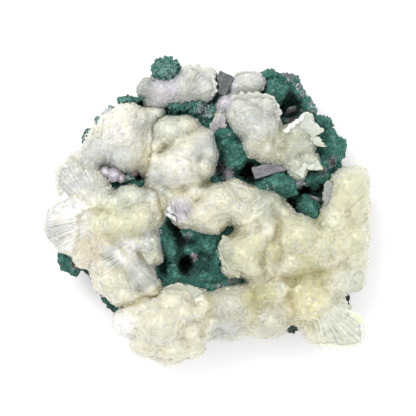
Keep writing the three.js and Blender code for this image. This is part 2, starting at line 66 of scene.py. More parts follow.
def linear(code: str) -> Tuple[float, float, float, float]:
    """Turn an sRGB hex colour into linear values.

    Args:
        code: the colour, such as "#ece4c6".

    Returns:
        Linear red, green and blue, and 1 for alpha.
    """
    parts = [int(code[i : i + 2], 16) / 255 for i in (1, 3, 5)]
    red, green, blue = [p / 12.92 if p <= 0.04045 else ((p + 0.055) / 1.055) ** 2.4 for p in parts]
    return (red, green, blue, 1.0)


def place(x: float, y: float, z: float) -> Vector:
    """Turn millimetres counted from the photograph's middle into a point of the frame.

    Args:
        x: to the right in the photograph.
        y: up in the photograph.
        z: above the surface that the specimen lies on.

    Returns:
        The point, in metres.
    """
    return Vector(((x + PHOTO_MIDDLE[0]) * MM, (y + PHOTO_MIDDLE[1]) * MM, z * MM))


def photo_places(points: np.ndarray) -> Tuple[np.ndarray, np.ndarray]:
    """Turn points of the frame into millimetres counted from the photograph's middle.

    Args:
        points: places in the frame, in metres.

    Returns:
        How far each one lies to the right and up in the photograph.
    """
    return points[:, 0] / MM - PHOTO_MIDDLE[0], points[:, 1] / MM - PHOTO_MIDDLE[1]


def unit(vectors: np.ndarray) -> np.ndarray:
    """Scale each row of an array to length one."""
    return vectors / np.maximum(np.linalg.norm(vectors, axis=-1, keepdims=True), 1e-12)


def deselect() -> None:
    """Leave edit mode and select nothing."""
    if bpy.context.mode != "OBJECT":
        bpy.ops.object.mode_set(mode="OBJECT")
    bpy.ops.object.select_all(action="DESELECT")


def pick(objects: Sequence[bpy.types.Object]) -> None:
    """Select these objects alone, the first of them active."""
    deselect()
    for one in objects:
        one.select_set(True)
    bpy.context.view_layer.objects.active = objects[0]


def join(objects: Sequence[bpy.types.Object], name: str) -> bpy.types.Object:
    """Join objects in one whose place is in its mesh.

    Args:
        objects: the meshes to join.
        name: the name of the result.

    Returns:
        The joined object, at the origin, unturned and unscaled.
    """
    pick(objects)
    if len(objects) > 1:
        bpy.ops.object.join()
    whole = bpy.context.view_layer.objects.active
    bpy.ops.object.transform_apply(location=True, rotation=True, scale=True)
    whole.name = name
    whole.data.name = name
    return whole


def modify(piece: bpy.types.Object, kind: str, **settings: Any) -> None:
    """Add a modifier to a piece and apply it.

    Args:
        piece: the mesh object.
        kind: the modifier's type.
        settings: the modifier's own settings.
    """
    pick([piece])
    made = piece.modifiers.new(kind.lower(), kind)
    for key, value in settings.items():
        setattr(made, key, value)
    bpy.ops.object.modifier_apply(modifier=made.name)


def remesh(piece: bpy.types.Object, voxel: float) -> None:
    """Fuse a piece in one closed skin of even faces, with its voxel's size in mm."""
    modify(piece, "REMESH", mode="VOXEL", voxel_size=voxel * MM, adaptivity=0.0)


def relief(piece: bpy.types.Object, kind: str, size: float, height: float, group: str = "") -> None:
    """Raise a piece by one of Blender's textures.

    Args:
        piece: the mesh object.
        kind: the texture's type, such as "CLOUDS".
        size: the size of its pattern in mm.
        height: how far the surface moves in mm, from lowest to highest.
        group: a vertex group that holds the relief back.
    """
    texture = bpy.data.textures.new(f"{piece.name}_{kind.lower()}", kind)
    texture.noise_scale = size * MM
    if kind == "CLOUDS":
        texture.noise_depth = 3
    modify(
        piece,
        "DISPLACE",
        texture=texture,
        texture_coords="LOCAL",
        strength=height * MM,
        mid_level=0.5,
        vertex_group=group,
    )


def vertices_of(piece: bpy.types.Object) -> Tuple[np.ndarray, np.ndarray]:
    """Read a mesh's points and their normals.

    Args:
        piece: the mesh object.

    Returns:
        Points and normals, one row each.
    """
    mesh = piece.data
    points = np.empty(len(mesh.vertices) * 3)
    normals = np.empty(len(mesh.vertices) * 3)
    mesh.vertices.foreach_get("co", points)
    mesh.vertex_normals.foreach_get("vector", normals)
    return points.reshape(-1, 3), normals.reshape(-1, 3)


def move_vertices(piece: bpy.types.Object, points: np.ndarray) -> None:
    """Write a mesh's points."""
    piece.data.vertices.foreach_set("co", points.astype(np.float32).ravel())
    piece.data.update()


def smooth(piece: bpy.types.Object, angle: float = 180.0) -> None:
    """Shade a piece smooth, with edges sharper than an angle kept crisp."""
    pick([piece])
    if angle >= 180.0:
        bpy.ops.object.shade_smooth()
    else:
        bpy.ops.object.shade_smooth_by_angle(angle=math.radians(angle))


@dataclass(frozen=True)
class Stain:
    """A round patch of grains or another mineral on the green crust."""

    x: float
    y: float
    radius: float
    share: float  # part of the points in it that are covered
    code: str = "#c9c2cf"


STAINS: Tuple[Stain, ...] = (
    Stain(47, 59, 6, 0.4),
    Stain(52, 51, 5, 0.4),
    Stain(41, 66, 5, 0.4),
    Stain(44, 61, 4, 0.3, "#8f8088"),
    Stain(-50, 47, 4, 0.75, "#dcd8e0"),
    Stain(-57, 40, 3, 0.6, "#a98468"),
    Stain(-2, 48, 5, 0.45),
    Stain(10, 17, 3.5, 0.8, "#cdc6d2"),
    Stain(46, 12, 3, 0.7, "#d8d4dc"),
    Stain(-7, -24.3, 2.2, 0.8, "#d8c8cc"),
    Stain(-10.5, -14, 2.4, 0.7, "#77737f"),
    Stain(4, -40, 3.5, 0.5, "#b8b0bb"),
    Stain(13, -36, 4, 0.6, "#6a5a58"),
    Stain(-25, -12, 2.2, 0.6, "#c4bccb"),
    Stain(42, 43, 4, 0.9, "#6d625e"),
    Stain(62, 23, 3, 0.7, "#57484a"),
    Stain(57, 18, 3, 0.5, "#6b5058"),
    Stain(40, 67, 3, 0.8, "#6f6268"),
    Stain(-66, -28, 3, 0.8, "#4a3a38"),
    Stain(5, 20, 4, 0.7, "#5b5040"),
    Stain(-37, 18, 2.5, 0.7, "#c79a98"),
    Stain(-40, 15, 3, 0.4, "#dcdde0"),
    Stain(30, 9, 3, 0.35, "#d8d4dc"),
    Stain(72, -46, 7, 1.2, "#1f1b1b"),
    Stain(-21, 69, 9, 0.3, "#86aca6"),
    Stain(-29, 64, 3, 0.8, "#c9c2cf"),
    Stain(41, -62, 5, 1.2, "#2a2523"),
)


def blotches(x: np.ndarray, y: np.ndarray) -> np.ndarray:
    """Draw uneven blotches a few millimetres wide.

    Args:
        x: places to the right.
        y: places up.

    Returns:
        A value from 0 to 1 for each place.
    """
    return 0.5 + 0.5 * np.sin(2.3 * x + 2 * np.sin(1.7 * y)) * np.sin(2.1 * y + 2 * np.sin(1.9 * x))


GRAIN_TONE = "#cfc8d4"
GRAIN_COVER = 0.6  # how much of the green a grain hides
STAIN_COVER = 0.85  # how much of the green a stain hides


def dust(piece: bpy.types.Object, share: float, seed: int) -> None:
    """Scatter pale grains over a green piece and lay its stains, as the tint with its alpha.

    Args:
        piece: the mesh object.
        share: part of the points that a grain lies on.
        seed: for the places of the grains.
    """
    points, _ = vertices_of(piece)
    random = np.random.default_rng(seed)
    colours = np.tile(np.array(linear(GRAIN_TONE)), (len(points), 1))
    chance = random.uniform(0, 1, len(points))
    colours[:, 3] = np.where(chance < share, GRAIN_COVER, 0.0)
    x, y = photo_places(points)
    chance = 0.6 * blotches(x, y) + 0.4 * chance
    for stain in STAINS:
        away = ((x - stain.x) ** 2 + (y - stain.y) ** 2) / stain.radius**2
        covered = chance < stain.share * np.exp(-(away**2))
        colours[covered, :3] = linear(stain.code)[:3]
        colours[covered, 3] = STAIN_COVER
    paint(piece, colours)


def settle(piece: bpy.types.Object, node: str, material: bpy.types.Material) -> None:
    """Give a piece its finish and its place in the table.

    Args:
        piece: the mesh object.
        node: the CAD node that it stands for.
        material: its finish.
    """
    piece.data.materials.clear()
    piece.data.materials.append(material)
    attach(piece, "root")
    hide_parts(node)
    LOG.info("%s: %d faces", piece.name, len(piece.data.polygons))


def add_node(
    tree: bpy.types.NodeTree,
    kind: str,
    settings: Optional[Dict[str, Any]] = None,
    inputs: Optional[Dict[Any, Any]] = None,
) -> bpy.types.Node:
    """Add a shader node with its settings, values and links.

    Args:
        tree: the material's tree.
        kind: the node's type.
        settings: properties of the node.
        inputs: a value or an output socket for each input, by name or number.

    Returns:
        The node.
    """
    made = tree.nodes.new(kind)
    for key, value in (settings or {}).items():
        setattr(made, key, value)
    for key, value in (inputs or {}).items():
        if isinstance(value, bpy.types.NodeSocket):
            tree.links.new(value, made.inputs[key])
        else:
            made.inputs[key].default_value = value
    return made


def new_material(name: str) -> Tuple[bpy.types.Material, bpy.types.NodeTree, bpy.types.Node]:
    """Start a material.

    Args:
        name: its name.

    Returns:
        The material, its node tree and its shader.
    """
    material = bpy.data.materials.new(name)
    material.use_nodes = True
    tree = material.node_tree
    return material, tree, tree.nodes["Principled BSDF"]


def noise(tree: bpy.types.NodeTree, size: float, detail: float, roughness: float = 0.5) -> bpy.types.Node:
    """Add a noise pattern that lies still on the piece.

    Args:
        tree: the material's tree.
        size: the size of its pattern, in mm.
        detail: how many finer patterns are laid over it.
        roughness: how strong the finer ones are.

    Returns:
        The noise node.
    """
    where = add_node(tree, "ShaderNodeTexCoord")
    values = {
        "Vector": where.outputs["Object"],
        "Scale": 1 / (size * MM),
        "Detail": detail,
        "Roughness": roughness,
    }
    return add_node(tree, "ShaderNodeTexNoise", inputs=values)


def multiply(
    tree: bpy.types.NodeTree, colour: bpy.types.NodeSocket, by: bpy.types.NodeSocket
) -> bpy.types.NodeSocket:
    """Multiply a colour by another colour or by a grey value.

    Args:
        tree: the material's tree.
        colour: the colour.
        by: what it is multiplied by.

    Returns:
        The product's socket.
    """
    settings = {"data_type": "RGBA", "blend_type": "MULTIPLY"}
    return add_node(tree, "ShaderNodeMix", settings, {0: 1.0, 6: colour, 7: by}).outputs[2]


def ramp(node: bpy.types.Node, stops: Sequence[Tuple[float, str]]) -> None:
    """Give a colour ramp its stops.

    Args:
        node: the colour ramp node.
        stops: places from 0 to 1 with their sRGB colours.
    """
    elements = node.color_ramp.elements
    while len(elements) < len(stops):
        elements.new(0.5)
    for element, (at, code) in zip(elements, stops):
        element.position = at
        element.color = linear(code)


# Colours of the crystals


class Tone(Enum):
    """What a stretch of stilbite looks like, as an sRGB colour."""

    CREAM = "#e2e0d0"
    IVORY = "#e9e7df"
    YELLOW = "#dad9c0"
    STRAW = "#e1dbb9"
    PEACH = "#ddd4c2"
    OLIVE = "#c9c6a2"
    GREENISH = "#d6dacd"
    PEARL = "#f2f2f2"
    SILVER = "#cdd0cd"
    GREY = "#a3a7a5"
    LILAC = "#cbc8d1"
    MINT = "#e4e8da"
    GLASS = "#d0d6ce"
    SAND = "#cecdbf"
    SAGE = "#c0c4b4"


@dataclass(frozen=True)
class Patch:
    """A soft round patch of another tone on the crystals."""

    x: float
    y: float
    radius: float
    tone: Tone


PATCHES: Tuple[Patch, ...] = (
    Patch(-70, -10, 15, Tone.PEARL),
    Patch(-78, -14, 8, Tone.SILVER),
    Patch(-66, 14, 12, Tone.SILVER),
    Patch(-56, 6, 9, Tone.SILVER),
    Patch(-63, 2, 8, Tone.PEARL),
    Patch(-43, 38, 14, Tone.IVORY),
    Patch(-44, 24, 8, Tone.SILVER),
    Patch(-57, 28, 9, Tone.SILVER),
    Patch(-27, 41, 8, Tone.SILVER),
    Patch(-15, 20, 12, Tone.IVORY),
    Patch(-18, 41, 9, Tone.GREENISH),
    Patch(0, 29, 8, Tone.SILVER),
    Patch(-27, 12, 8, Tone.SILVER),
    Patch(1, 13, 7, Tone.GREENISH),
    Patch(-14, -1, 6, Tone.LILAC),
    Patch(8, -1, 13, Tone.CREAM),
    Patch(-45, -8, 15, Tone.YELLOW),
    Patch(-40, 7, 9, Tone.GREENISH),
    Patch(-57, -21, 9, Tone.PEACH),
    Patch(-46, -24, 7, Tone.SILVER),
    Patch(-40, -21, 6, Tone.PEARL),
    Patch(-36, -29, 5, Tone.PEARL),
    Patch(-33, -34, 8, Tone.SILVER),
    Patch(-50, -38, 9, Tone.CREAM),
    Patch(-28, -17, 6, Tone.SILVER),
    Patch(-22, -60, 18, Tone.CREAM),
    Patch(-42, -58, 6, Tone.PEARL),
    Patch(12, -50, 11, Tone.SAND),
    Patch(8, -64, 8, Tone.SILVER),
    Patch(26, -45, 9, Tone.OLIVE),
    Patch(33, -57, 10, Tone.SAND),
    Patch(20, -22, 12, Tone.YELLOW),
    Patch(8, -22, 5, Tone.SAGE),
    Patch(33, -22, 6, Tone.OLIVE),
    Patch(31, 2, 9, Tone.SAGE),
    Patch(48, -14, 14, Tone.YELLOW),
    Patch(50, -35, 11, Tone.OLIVE),
    Patch(68, -14, 13, Tone.YELLOW),
    Patch(72, 5, 12, Tone.YELLOW),
    Patch(73, -38, 9, Tone.GREENISH),
    Patch(50, -48, 11, Tone.STRAW),
    Patch(67, -58, 12, Tone.MINT),
    Patch(71, -50, 6, Tone.MINT),
    Patch(24, 44, 12, Tone.SILVER),
    Patch(29, 28, 9, Tone.SAND),
    Patch(46, 30, 11, Tone.SAGE),
    Patch(52, 42, 5, Tone.SILVER),
    Patch(20, 62, 8, Tone.SILVER),
    Patch(11, 60, 4, Tone.LILAC),
    Patch(27, 67, 4, Tone.LILAC),
    Patch(7, 53, 6, Tone.LILAC),
    Patch(-31, 59, 8, Tone.GREY),
    Patch(-20, 58, 8, Tone.LILAC),
    Patch(-2, 60, 8, Tone.SILVER),
    Patch(-9, 57, 5, Tone.SILVER),
)


@dataclass(frozen=True)
class Calm:
    """A soft round patch where the crystals lie in one even face, without creases between lumps."""

    x: float
    y: float
    radius: float


CALMS: Tuple[Calm, ...] = (
    Calm(62, -16, 15),
    Calm(49, -24, 12),
    Calm(44, -11, 8),
    Calm(70, 5, 8),
    Calm(66, -30, 8),
    Calm(52, -46, 7),
    Calm(66, -60, 8),
    Calm(12, -49, 9),
    Calm(30, -52, 9),
    Calm(-22, -60, 10),
    Calm(-30, -50, 7),
    Calm(20, -21, 7),
    Calm(29, -2, 8),
    Calm(7, 0, 9),
    Calm(-14, 20, 8),
    Calm(-8, 33, 8),
    Calm(-43, 36, 10),
    Calm(-57, 29, 7),
    Calm(-45, -7, 10),
    Calm(-57, -16, 8),
    Calm(-69, -8, 9),
    Calm(-66, 14, 8),
    Calm(-44, -33, 9),
    Calm(24, 40, 8),
    Calm(45, 33, 6),
    Calm(-20, 58, 7),
)


@dataclass(frozen=True)
class Crease:
    """A valley between two forms, along a line, carved into the skin and painted with shade."""

    line: Tuple[Tuple[float, float], ...]
    width: float = 1.5
    depth: float = 2.0

    def nearness(self, x: np.ndarray, y: np.ndarray) -> np.ndarray:
        """Tell how near points are to the line, from 0 to 1 on it.

        Args:
            x: their places to the right.
            y: their places up.

        Returns:
            One value for each point.
        """
        least = np.full(len(x), 1e6)
        for (x0, y0), (x1, y1) in zip(self.line, self.line[1:]):
            run = (x1 - x0) ** 2 + (y1 - y0) ** 2
            part = np.clip(((x - x0) * (x1 - x0) + (y - y0) * (y1 - y0)) / run, 0, 1)
            least = np.minimum(least, (x - x0 - part * (x1 - x0)) ** 2 + (y - y0 - part * (y1 - y0)) ** 2)
        return np.exp(-least / self.width**2)


CREASES: Tuple[Crease, ...] = (
    Crease(((-30, 46.5), (-29.5, 39), (-31, 33), (-30, 26.5), (-32.5, 18.5), (-33.5, 11.5)), 1.8, 2.0),
    Crease(((-25.5, 11.5), (-18, 8), (-9, 10.5), (-3, 11.5), (3.5, 14), (9.5, 15.5))),
    Crease(((7, -11), (16, -9.5), (24, -7))),
    Crease(((32, 1.5), (35.5, -7), (34, -16), (36.5, -24), (31, -36)), 1.7, 2.4),
    Crease(((27, -37), (36, -34.5), (41, -37.5), (46, -36), (52, -34), (59, -31.5), (67, -29)), 2.4, 2.6),
    Crease(((41, -38), (40, -46), (42.5, -55), (42, -60)), 2.0, 2.6),
    Crease(((23.5, -41), (25.5, -50), (21, -58.5)), 2.2, 1.8),
    Crease(((0, -42), (2, -48.5), (-0.5, -56), (-2.5, -63)), 2.0, 2.2),
    Crease(((-45, -49), (-36.5, -47.5), (-29, -44.5), (-24, -39.5)), 1.3, 1.4),
    Crease(((-64.5, -16), (-64, -4.5), (-61, -2), (-54, -0.5), (-48.5, -2)), 1.2, 1.4),
    Crease(((-75, 5.5), (-64, 6.5), (-58, 2.5)), 1.4, 1.4),
    Crease(((-67.5, 25), (-61.5, 20.5), (-52.5, 20)), 1.5, 1.6),
    Crease(((36.5, 40), (37, 30.5), (35.5, 23)), 1.8, 1.8),
    Crease(((-50, -14), (-43, -19), (-38, -26)), 1.6, 1.2),
)


@dataclass(frozen=True)
class Comb:
    """A soft round patch where the crystals show as fibres that spread from a foot."""

    x: float
    y: float
    radius: float
    foot_x: float
    foot_y: float
    depth: float = 0.5  # height of the ridges, in mm


COMBS: Tuple[Comb, ...] = (
    Comb(-72, -10, 13, -50, -4),
    Comb(-66, 14, 12, -52, -6),
    Comb(-13, 2, 8, -17, 14),
    Comb(8, -22, 7, 24, -18),
    Comb(67, -57, 13, 52, -44, 1.1),
    Comb(72, 5, 10, 58, -12, 0.3),
    Comb(-46, -24, 8, -30, -14),
    Comb(-33, -34, 9, -47, -18),
    Comb(-42, -10, 7, -34, 4, 0.3),
    Comb(-44, 22, 9, -41, 44, 0.3),
    Comb(-60, 26, 9, -42, 38, 0.3),
    Comb(-1, 22, 8, -16, 28, 0.3),
    Comb(-4, 62, 9, -14, 52, 0.4),
    Comb(30, -8, 8, 24, 4, 0.3),
    Comb(18, -26, 9, 24, -10, 0.3),
    Comb(50, 36, 8, 40, 26, 0.4),
)


def tints(points: np.ndarray, base: Tone, seed: int) -> np.ndarray:
    """Work out the crystals' own colour at each of many points.

    Args:
        points: places in the frame, in metres.
        base: the tone outside every patch.
        seed: for the slight unevenness from one point to the next.

    Returns:
        Linear colours with alpha, one row each.
    """
    x, y = photo_places(points)
    colours = np.tile(np.array(linear(base.value)), (len(points), 1))
    for patch in PATCHES:
        away = ((x - patch.x) ** 2 + (y - patch.y) ** 2) / patch.radius**2
        share = np.clip(1.2 * np.exp(-(away**2)), 0, 1)[:, None]
        colours = colours * (1 - share) + np.array(linear(patch.tone.value)) * share
    uneven = 1 + 0.02 * np.random.default_rng(seed).standard_normal(len(points))
    colours[:, :3] = np.clip(colours[:, :3] * TONE_LEVEL * uneven[:, None], 0, BRIGHTEST_TONE)
    return colours


def paint(piece: bpy.types.Object, colours: np.ndarray) -> None:
    """Store one colour for each point of a mesh, in its attribute named tint."""
    made = piece.data.attributes.new("tint", "FLOAT_COLOR", "POINT")
    made.data.foreach_set("color", colours.astype(np.float32).ravel())


# Finishes


@dataclass(frozen=True)
class StilbiteFinish:
    """Translucent stilbite with a pearly lustre on fresh crystal faces: soft light bleeds through its
    thin edges, and the small faces glint."""

    name: str = "stilbite_pearly_crystal"
    roughness: float = 0.27
    ior: float = 1.5
    weight: float = 1.0
    bleed: float = 3.0  # how far light travels inside, in mm
    fibre: float = 0.6  # width of the finest fibres, in mm, coarser than the real ones so that they show
    cloud: float = 5.0  # size of the milky clouds in it, in mm
    coat: float = 0.3  # how strongly its faces glint

    def make(self) -> bpy.types.Material:
        """Build the material.

        Returns:
            The material.
        """
        material, tree, shader = new_material(self.name)
        tint = add_node(tree, "ShaderNodeAttribute", {"attribute_name": "tint"})
        cloud = noise(tree, self.cloud, detail=3.0)
        cloudy = add_node(tree, "ShaderNodeValToRGB", inputs={0: cloud.outputs[0]})
        ramp(cloudy, [(0.3, "#f0eee4"), (0.7, "#ffffff")])
        fibres = noise(tree, self.fibre, detail=2.0)
        bump = add_node(
            tree,
            "ShaderNodeBump",
            inputs={"Height": fibres.outputs[0], "Strength": 0.2, "Distance": 0.1 * MM},
        )
        mixed = multiply(tree, tint.outputs["Color"], cloudy.outputs[0])
        tree.links.new(mixed, shader.inputs["Base Color"])
        tree.links.new(bump.outputs[0], shader.inputs["Normal"])
        shader.inputs["Roughness"].default_value = self.roughness
        shader.inputs["IOR"].default_value = self.ior
        shader.inputs["Subsurface Weight"].default_value = self.weight
        shader.inputs["Subsurface Radius"].default_value = (1.0, 0.9, 0.6)
        shader.inputs["Subsurface Scale"].default_value = self.bleed * MM
        shader.inputs["Coat Weight"].default_value = self.coat
        shader.inputs["Coat Roughness"].default_value = 0.08
        return material


@dataclass(frozen=True)
class CeladoniteFinish:
    """Celadonite in a fine-grained velvety crust: blue-green and matt, with painted shade that darkens it
    deep down, and with grains of pale quartz here and there."""

    name: str = "celadonite_velvet_crust"
    grain: float = 1.1  # size of a grain, in mm, coarser than the real ones so that it shows
    shade_below: float = 15.0  # painted shade makes the crust nearly black below this height, in mm
    unshaded_above: float = 37.0  # it has its full colour, without painted shade, above this height, in mm

    def make(self) -> bpy.types.Material:
        """Build the material.

        Returns:
            The material.
        """
        material, tree, shader = new_material(self.name)
        where = add_node(tree, "ShaderNodeTexCoord")
        broad = noise(tree, size=5.0, detail=8.0, roughness=0.78)
        green = add_node(tree, "ShaderNodeValToRGB", inputs={0: broad.outputs[0]})
        ramp(green, [(0.32, "#1c433d"), (0.5, "#356e63"), (0.68, "#6ba596")])
        # painted shade: the crust is darkened the lower it lies
        height = add_node(tree, "ShaderNodeSeparateXYZ", inputs={0: where.outputs["Object"]})
        depth_shade = add_node(
            tree,
            "ShaderNodeMapRange",
            inputs={
                0: height.outputs[2],
                1: self.shade_below * MM,
                2: self.unshaded_above * MM,
                3: 0.03,
                4: 1.0,
            },
        )
        shaded = multiply(tree, green.outputs[0], depth_shade.outputs[0])
        grains = add_node(
            tree,
            "ShaderNodeTexVoronoi",
            inputs={"Vector": where.outputs["Object"], "Scale": 1 / (self.grain * MM)},
        )
        bump = add_node(
            tree,
            "ShaderNodeBump",
            {"invert": True},
            {"Height": grains.outputs["Distance"], "Strength": 0.9, "Distance": 0.6 * MM},
        )
        sand = noise(tree, size=0.7, detail=2.0)
        sandy = add_node(
            tree,
            "ShaderNodeMapRange",
            inputs={0: sand.outputs[0], 1: 0.3, 2: 0.7, 3: 0.5, 4: 1.45},
        )
        grainy = multiply(tree, shaded, sandy.outputs[0])
        tint = add_node(tree, "ShaderNodeAttribute", {"attribute_name": "tint"})
        dusted = add_node(
            tree,
            "ShaderNodeMix",
            {"data_type": "RGBA"},
            {0: tint.outputs["Alpha"], 6: grainy, 7: tint.outputs["Color"]},
        )
        tree.links.new(dusted.outputs[2], shader.inputs["Base Color"])
        tree.links.new(bump.outputs[0], shader.inputs["Normal"])
        shader.inputs["Roughness"].default_value = 0.85
        shader.inputs["Sheen Weight"].default_value = 0.25
        shader.inputs["Sheen Roughness"].default_value = 0.4
        shader.inputs["Sheen Tint"].default_value = linear("#8fd0b8")
        return material


@dataclass(frozen=True)
class BasaltFinish:
    """Dark fine-grained basalt with a broken, matt face and faint rusty and lilac stains."""

    name: str = "basalt_broken_face"

    def make(self) -> bpy.types.Material:
        """Build the material.

        Returns:
            The material.
        """
        material, tree, shader = new_material(self.name)
        stain = noise(tree, size=9.0, detail=8.0, roughness=0.7)
        rock = add_node(tree, "ShaderNodeValToRGB", inputs={0: stain.outputs[0]})
        ramp(rock, [(0.32, "#221f20"), (0.55, "#3b3637"), (0.74, "#5b5152")])
        rough = noise(tree, size=1.2, detail=6.0)
        bump = add_node(
            tree,
            "ShaderNodeBump",
            inputs={"Height": rough.outputs[0], "Strength": 0.8, "Distance": 0.4 * MM},
        )
        tree.links.new(rock.outputs[0], shader.inputs["Base Color"])
        tree.links.new(bump.outputs[0], shader.inputs["Normal"])
        shader.inputs["Roughness"].default_value = 0.9
        return material


class QuartzLook(Enum):
    """What a quartz crystal looks like: its finish's name, its milky colour and its darker veils."""

    MILKY = ("quartz_milky_lilac", "#e0dae4", "#a9a0ad")
    SMOKY = ("quartz_smoky_grey", "#98949a", "#6c6a70")
    GREENISH = ("quartz_greenish_grey", "#6f7773", "#454d4a")


@dataclass(frozen=True)
class QuartzFinish:
    """Milky quartz with clear stretches: light passes into it and comes back grey and faintly lilac."""

    look: QuartzLook
    clear: float = 0.1  # how much of the light goes straight through

    def make(self) -> bpy.types.Material:
        """Build the material.

        Returns:
            The material.
        """
        name, milky, veiled = self.look.value
        material, tree, shader = new_material(name)
        veils = noise(tree, size=2.5, detail=6.0, roughness=0.65)
        milk = add_node(tree, "ShaderNodeValToRGB", inputs={0: veils.outputs[0]})
        ramp(milk, [(0.35, veiled), (0.65, milky)])
        bump = add_node(
            tree,
            "ShaderNodeBump",
            inputs={"Height": veils.outputs[0], "Strength": 0.35, "Distance": 0.3 * MM},
        )
        tree.links.new(milk.outputs[0], shader.inputs["Base Color"])
        tree.links.new(bump.outputs[0], shader.inputs["Normal"])
        shader.inputs["Roughness"].default_value = 0.18
        shader.inputs["IOR"].default_value = 1.544
        shader.inputs["Transmission Weight"].default_value = self.clear
        shader.inputs["Subsurface Weight"].default_value = 0.5
        shader.inputs["Subsurface Radius"].default_value = (1.0, 1.0, 1.0)
        shader.inputs["Subsurface Scale"].default_value = 2 * MM
        return material


# Crystals and lumps


@dataclass(frozen=True)
class Dome:
    """A rounded lump. Its widest level lies on the bed unless low gives the height of its lowest point."""

    x: float
    y: float
    top: float
    half_x: float
    half_y: float
    turn: float = 0.0
    low: Optional[float] = None

    @property
    def bottom(self) -> float:
        """Height of its lowest point in mm."""
        return 2 * BED - self.top if self.low is None else self.low

    @property
    def middle(self) -> Vector:
        """Its centre in the frame."""
        return place(self.x, self.y, (self.top + self.bottom) / 2)

    def add(self) -> bpy.types.Object:
        """Add the lump as a scaled and turned ball.

        Returns:
            The new object.
        """
        deselect()
        bpy.ops.mesh.primitive_ico_sphere_add(
            subdivisions=3,
            radius=MM,
            location=self.middle,
            rotation=(0, 0, math.radians(self.turn)),
            scale=(self.half_x, self.half_y, (self.top - self.bottom) / 2),
        )
        return bpy.context.view_layer.objects.active

    def distance(self, points: np.ndarray) -> np.ndarray:
        """Tell how far out of the lump each point lies.

        Args:
            points: places in the frame.

        Returns:
            For each point, 0 at the lump's centre, 1 on its skin and more outside.
        """
        away = points - np.array(self.middle)
        spin = math.radians(self.turn)
        along = away[:, 0] * math.cos(spin) + away[:, 1] * math.sin(spin)
        across = away[:, 1] * math.cos(spin) - away[:, 0] * math.sin(spin)
        half_z = (self.top - self.bottom) / 2
        u = along / (self.half_x * MM)
        v = across / (self.half_y * MM)
        w = away[:, 2] / (half_z * MM)
        return np.sqrt(u * u + v * v + w * w)


class BladeEnd(Enum):
    """How a blade ends: its shoulder's height and the share of its width left at the tip."""

    SHORT = (0.72, 0.5)
    ROUNDED = (0.9, 0.55)
    POINTED = (0.6, 0.12)


@dataclass(frozen=True)
class SmallShape:
    """A small shape that is modelled once and then copied many times."""

    points: np.ndarray
    faces: Tuple[Tuple[int, ...], ...]

    @staticmethod
    def blade(end: BladeEnd) -> "SmallShape":
        """Model a thin tablet with a gabled end, of unit width, thickness and length, on its foot.

        Args:
            end: how it ends.

        Returns:
            The blade's points and faces.
        """
        shoulder, tip = end.value
        deselect()
        bpy.ops.mesh.primitive_cube_add(size=1, location=(0, 0, shoulder / 2), scale=(1, 1, shoulder))
        bpy.ops.object.transform_apply(location=True, rotation=False, scale=True)
        blade = bpy.context.view_layer.objects.active
        bpy.ops.object.mode_set(mode="EDIT")
        bpy.ops.mesh.select_all(action="DESELECT")
        bpy.ops.object.mode_set(mode="OBJECT")
        for face in blade.data.polygons:
            face.select = face.normal.z > 0.9
        bpy.ops.object.mode_set(mode="EDIT")
        bpy.ops.mesh.extrude_region_move(TRANSFORM_OT_translate={"value": (0, 0, 1 - shoulder)})
        bpy.ops.transform.resize(value=(tip, 0.7, 1))
        bpy.ops.mesh.select_all(action="SELECT")
        bpy.ops.mesh.remove_doubles(threshold=1e-4)
        bpy.ops.mesh.dissolve_degenerate(threshold=1e-5)
        bpy.ops.mesh.normals_make_consistent(inside=False)
        bpy.ops.object.mode_set(mode="OBJECT")
        return SmallShape.taken_from(blade)

    @staticmethod
    def ball() -> "SmallShape":
        """Model a ball of unit radius.

        Returns:
            The ball's points and faces.
        """
        deselect()
        bpy.ops.mesh.primitive_ico_sphere_add(subdivisions=2, radius=1)
        return SmallShape.taken_from(bpy.context.view_layer.objects.active)

    @staticmethod
    def taken_from(source: bpy.types.Object) -> "SmallShape":
        """Keep an object's points and faces, and remove the object.

        Args:
            source: the mesh object.

        Returns:
            Its points and faces.
        """
        points, _ = vertices_of(source)
        faces = tuple(tuple(face.vertices) for face in source.data.polygons)
        bpy.data.objects.remove(source)
        return SmallShape(points, faces)

    def copies(
        self,
        name: str,
        feet: np.ndarray,
        along: np.ndarray,
        wide: np.ndarray,
        sizes: np.ndarray,
    ) -> bpy.types.Object:
        """Make one mesh of many copies of the shape.

        Args:
            name: the mesh object's name.
            feet: where each copy starts.
            along: the direction of its length.
            wide: roughly the direction of its width.
            sizes: its width, thickness and length in metres.

        Returns:
            The mesh object.
        """
        axis = unit(along)
        side = unit(wide - axis * np.sum(wide * axis, axis=1, keepdims=True))
        back = np.cross(axis, side)
        shape = self.points[None, :, :]
        scaled = shape * sizes[:, None, :]
        corners = (
            feet[:, None, :]
            + scaled[:, :, 0:1] * side[:, None, :]
            + scaled[:, :, 1:2] * back[:, None, :]
            + scaled[:, :, 2:3] * axis[:, None, :]
        )
        steps = np.arange(len(feet)) * self.points.shape[0]
        faces = [tuple(corner + step for corner in face) for step in steps.tolist() for face in self.faces]
        mesh = bpy.data.meshes.new(name)
        mesh.from_pydata(corners.reshape(-1, 3), [], faces)
        mesh.update()
        made = bpy.data.objects.new(name, mesh)
        bpy.context.scene.collection.objects.link(made)
        return made


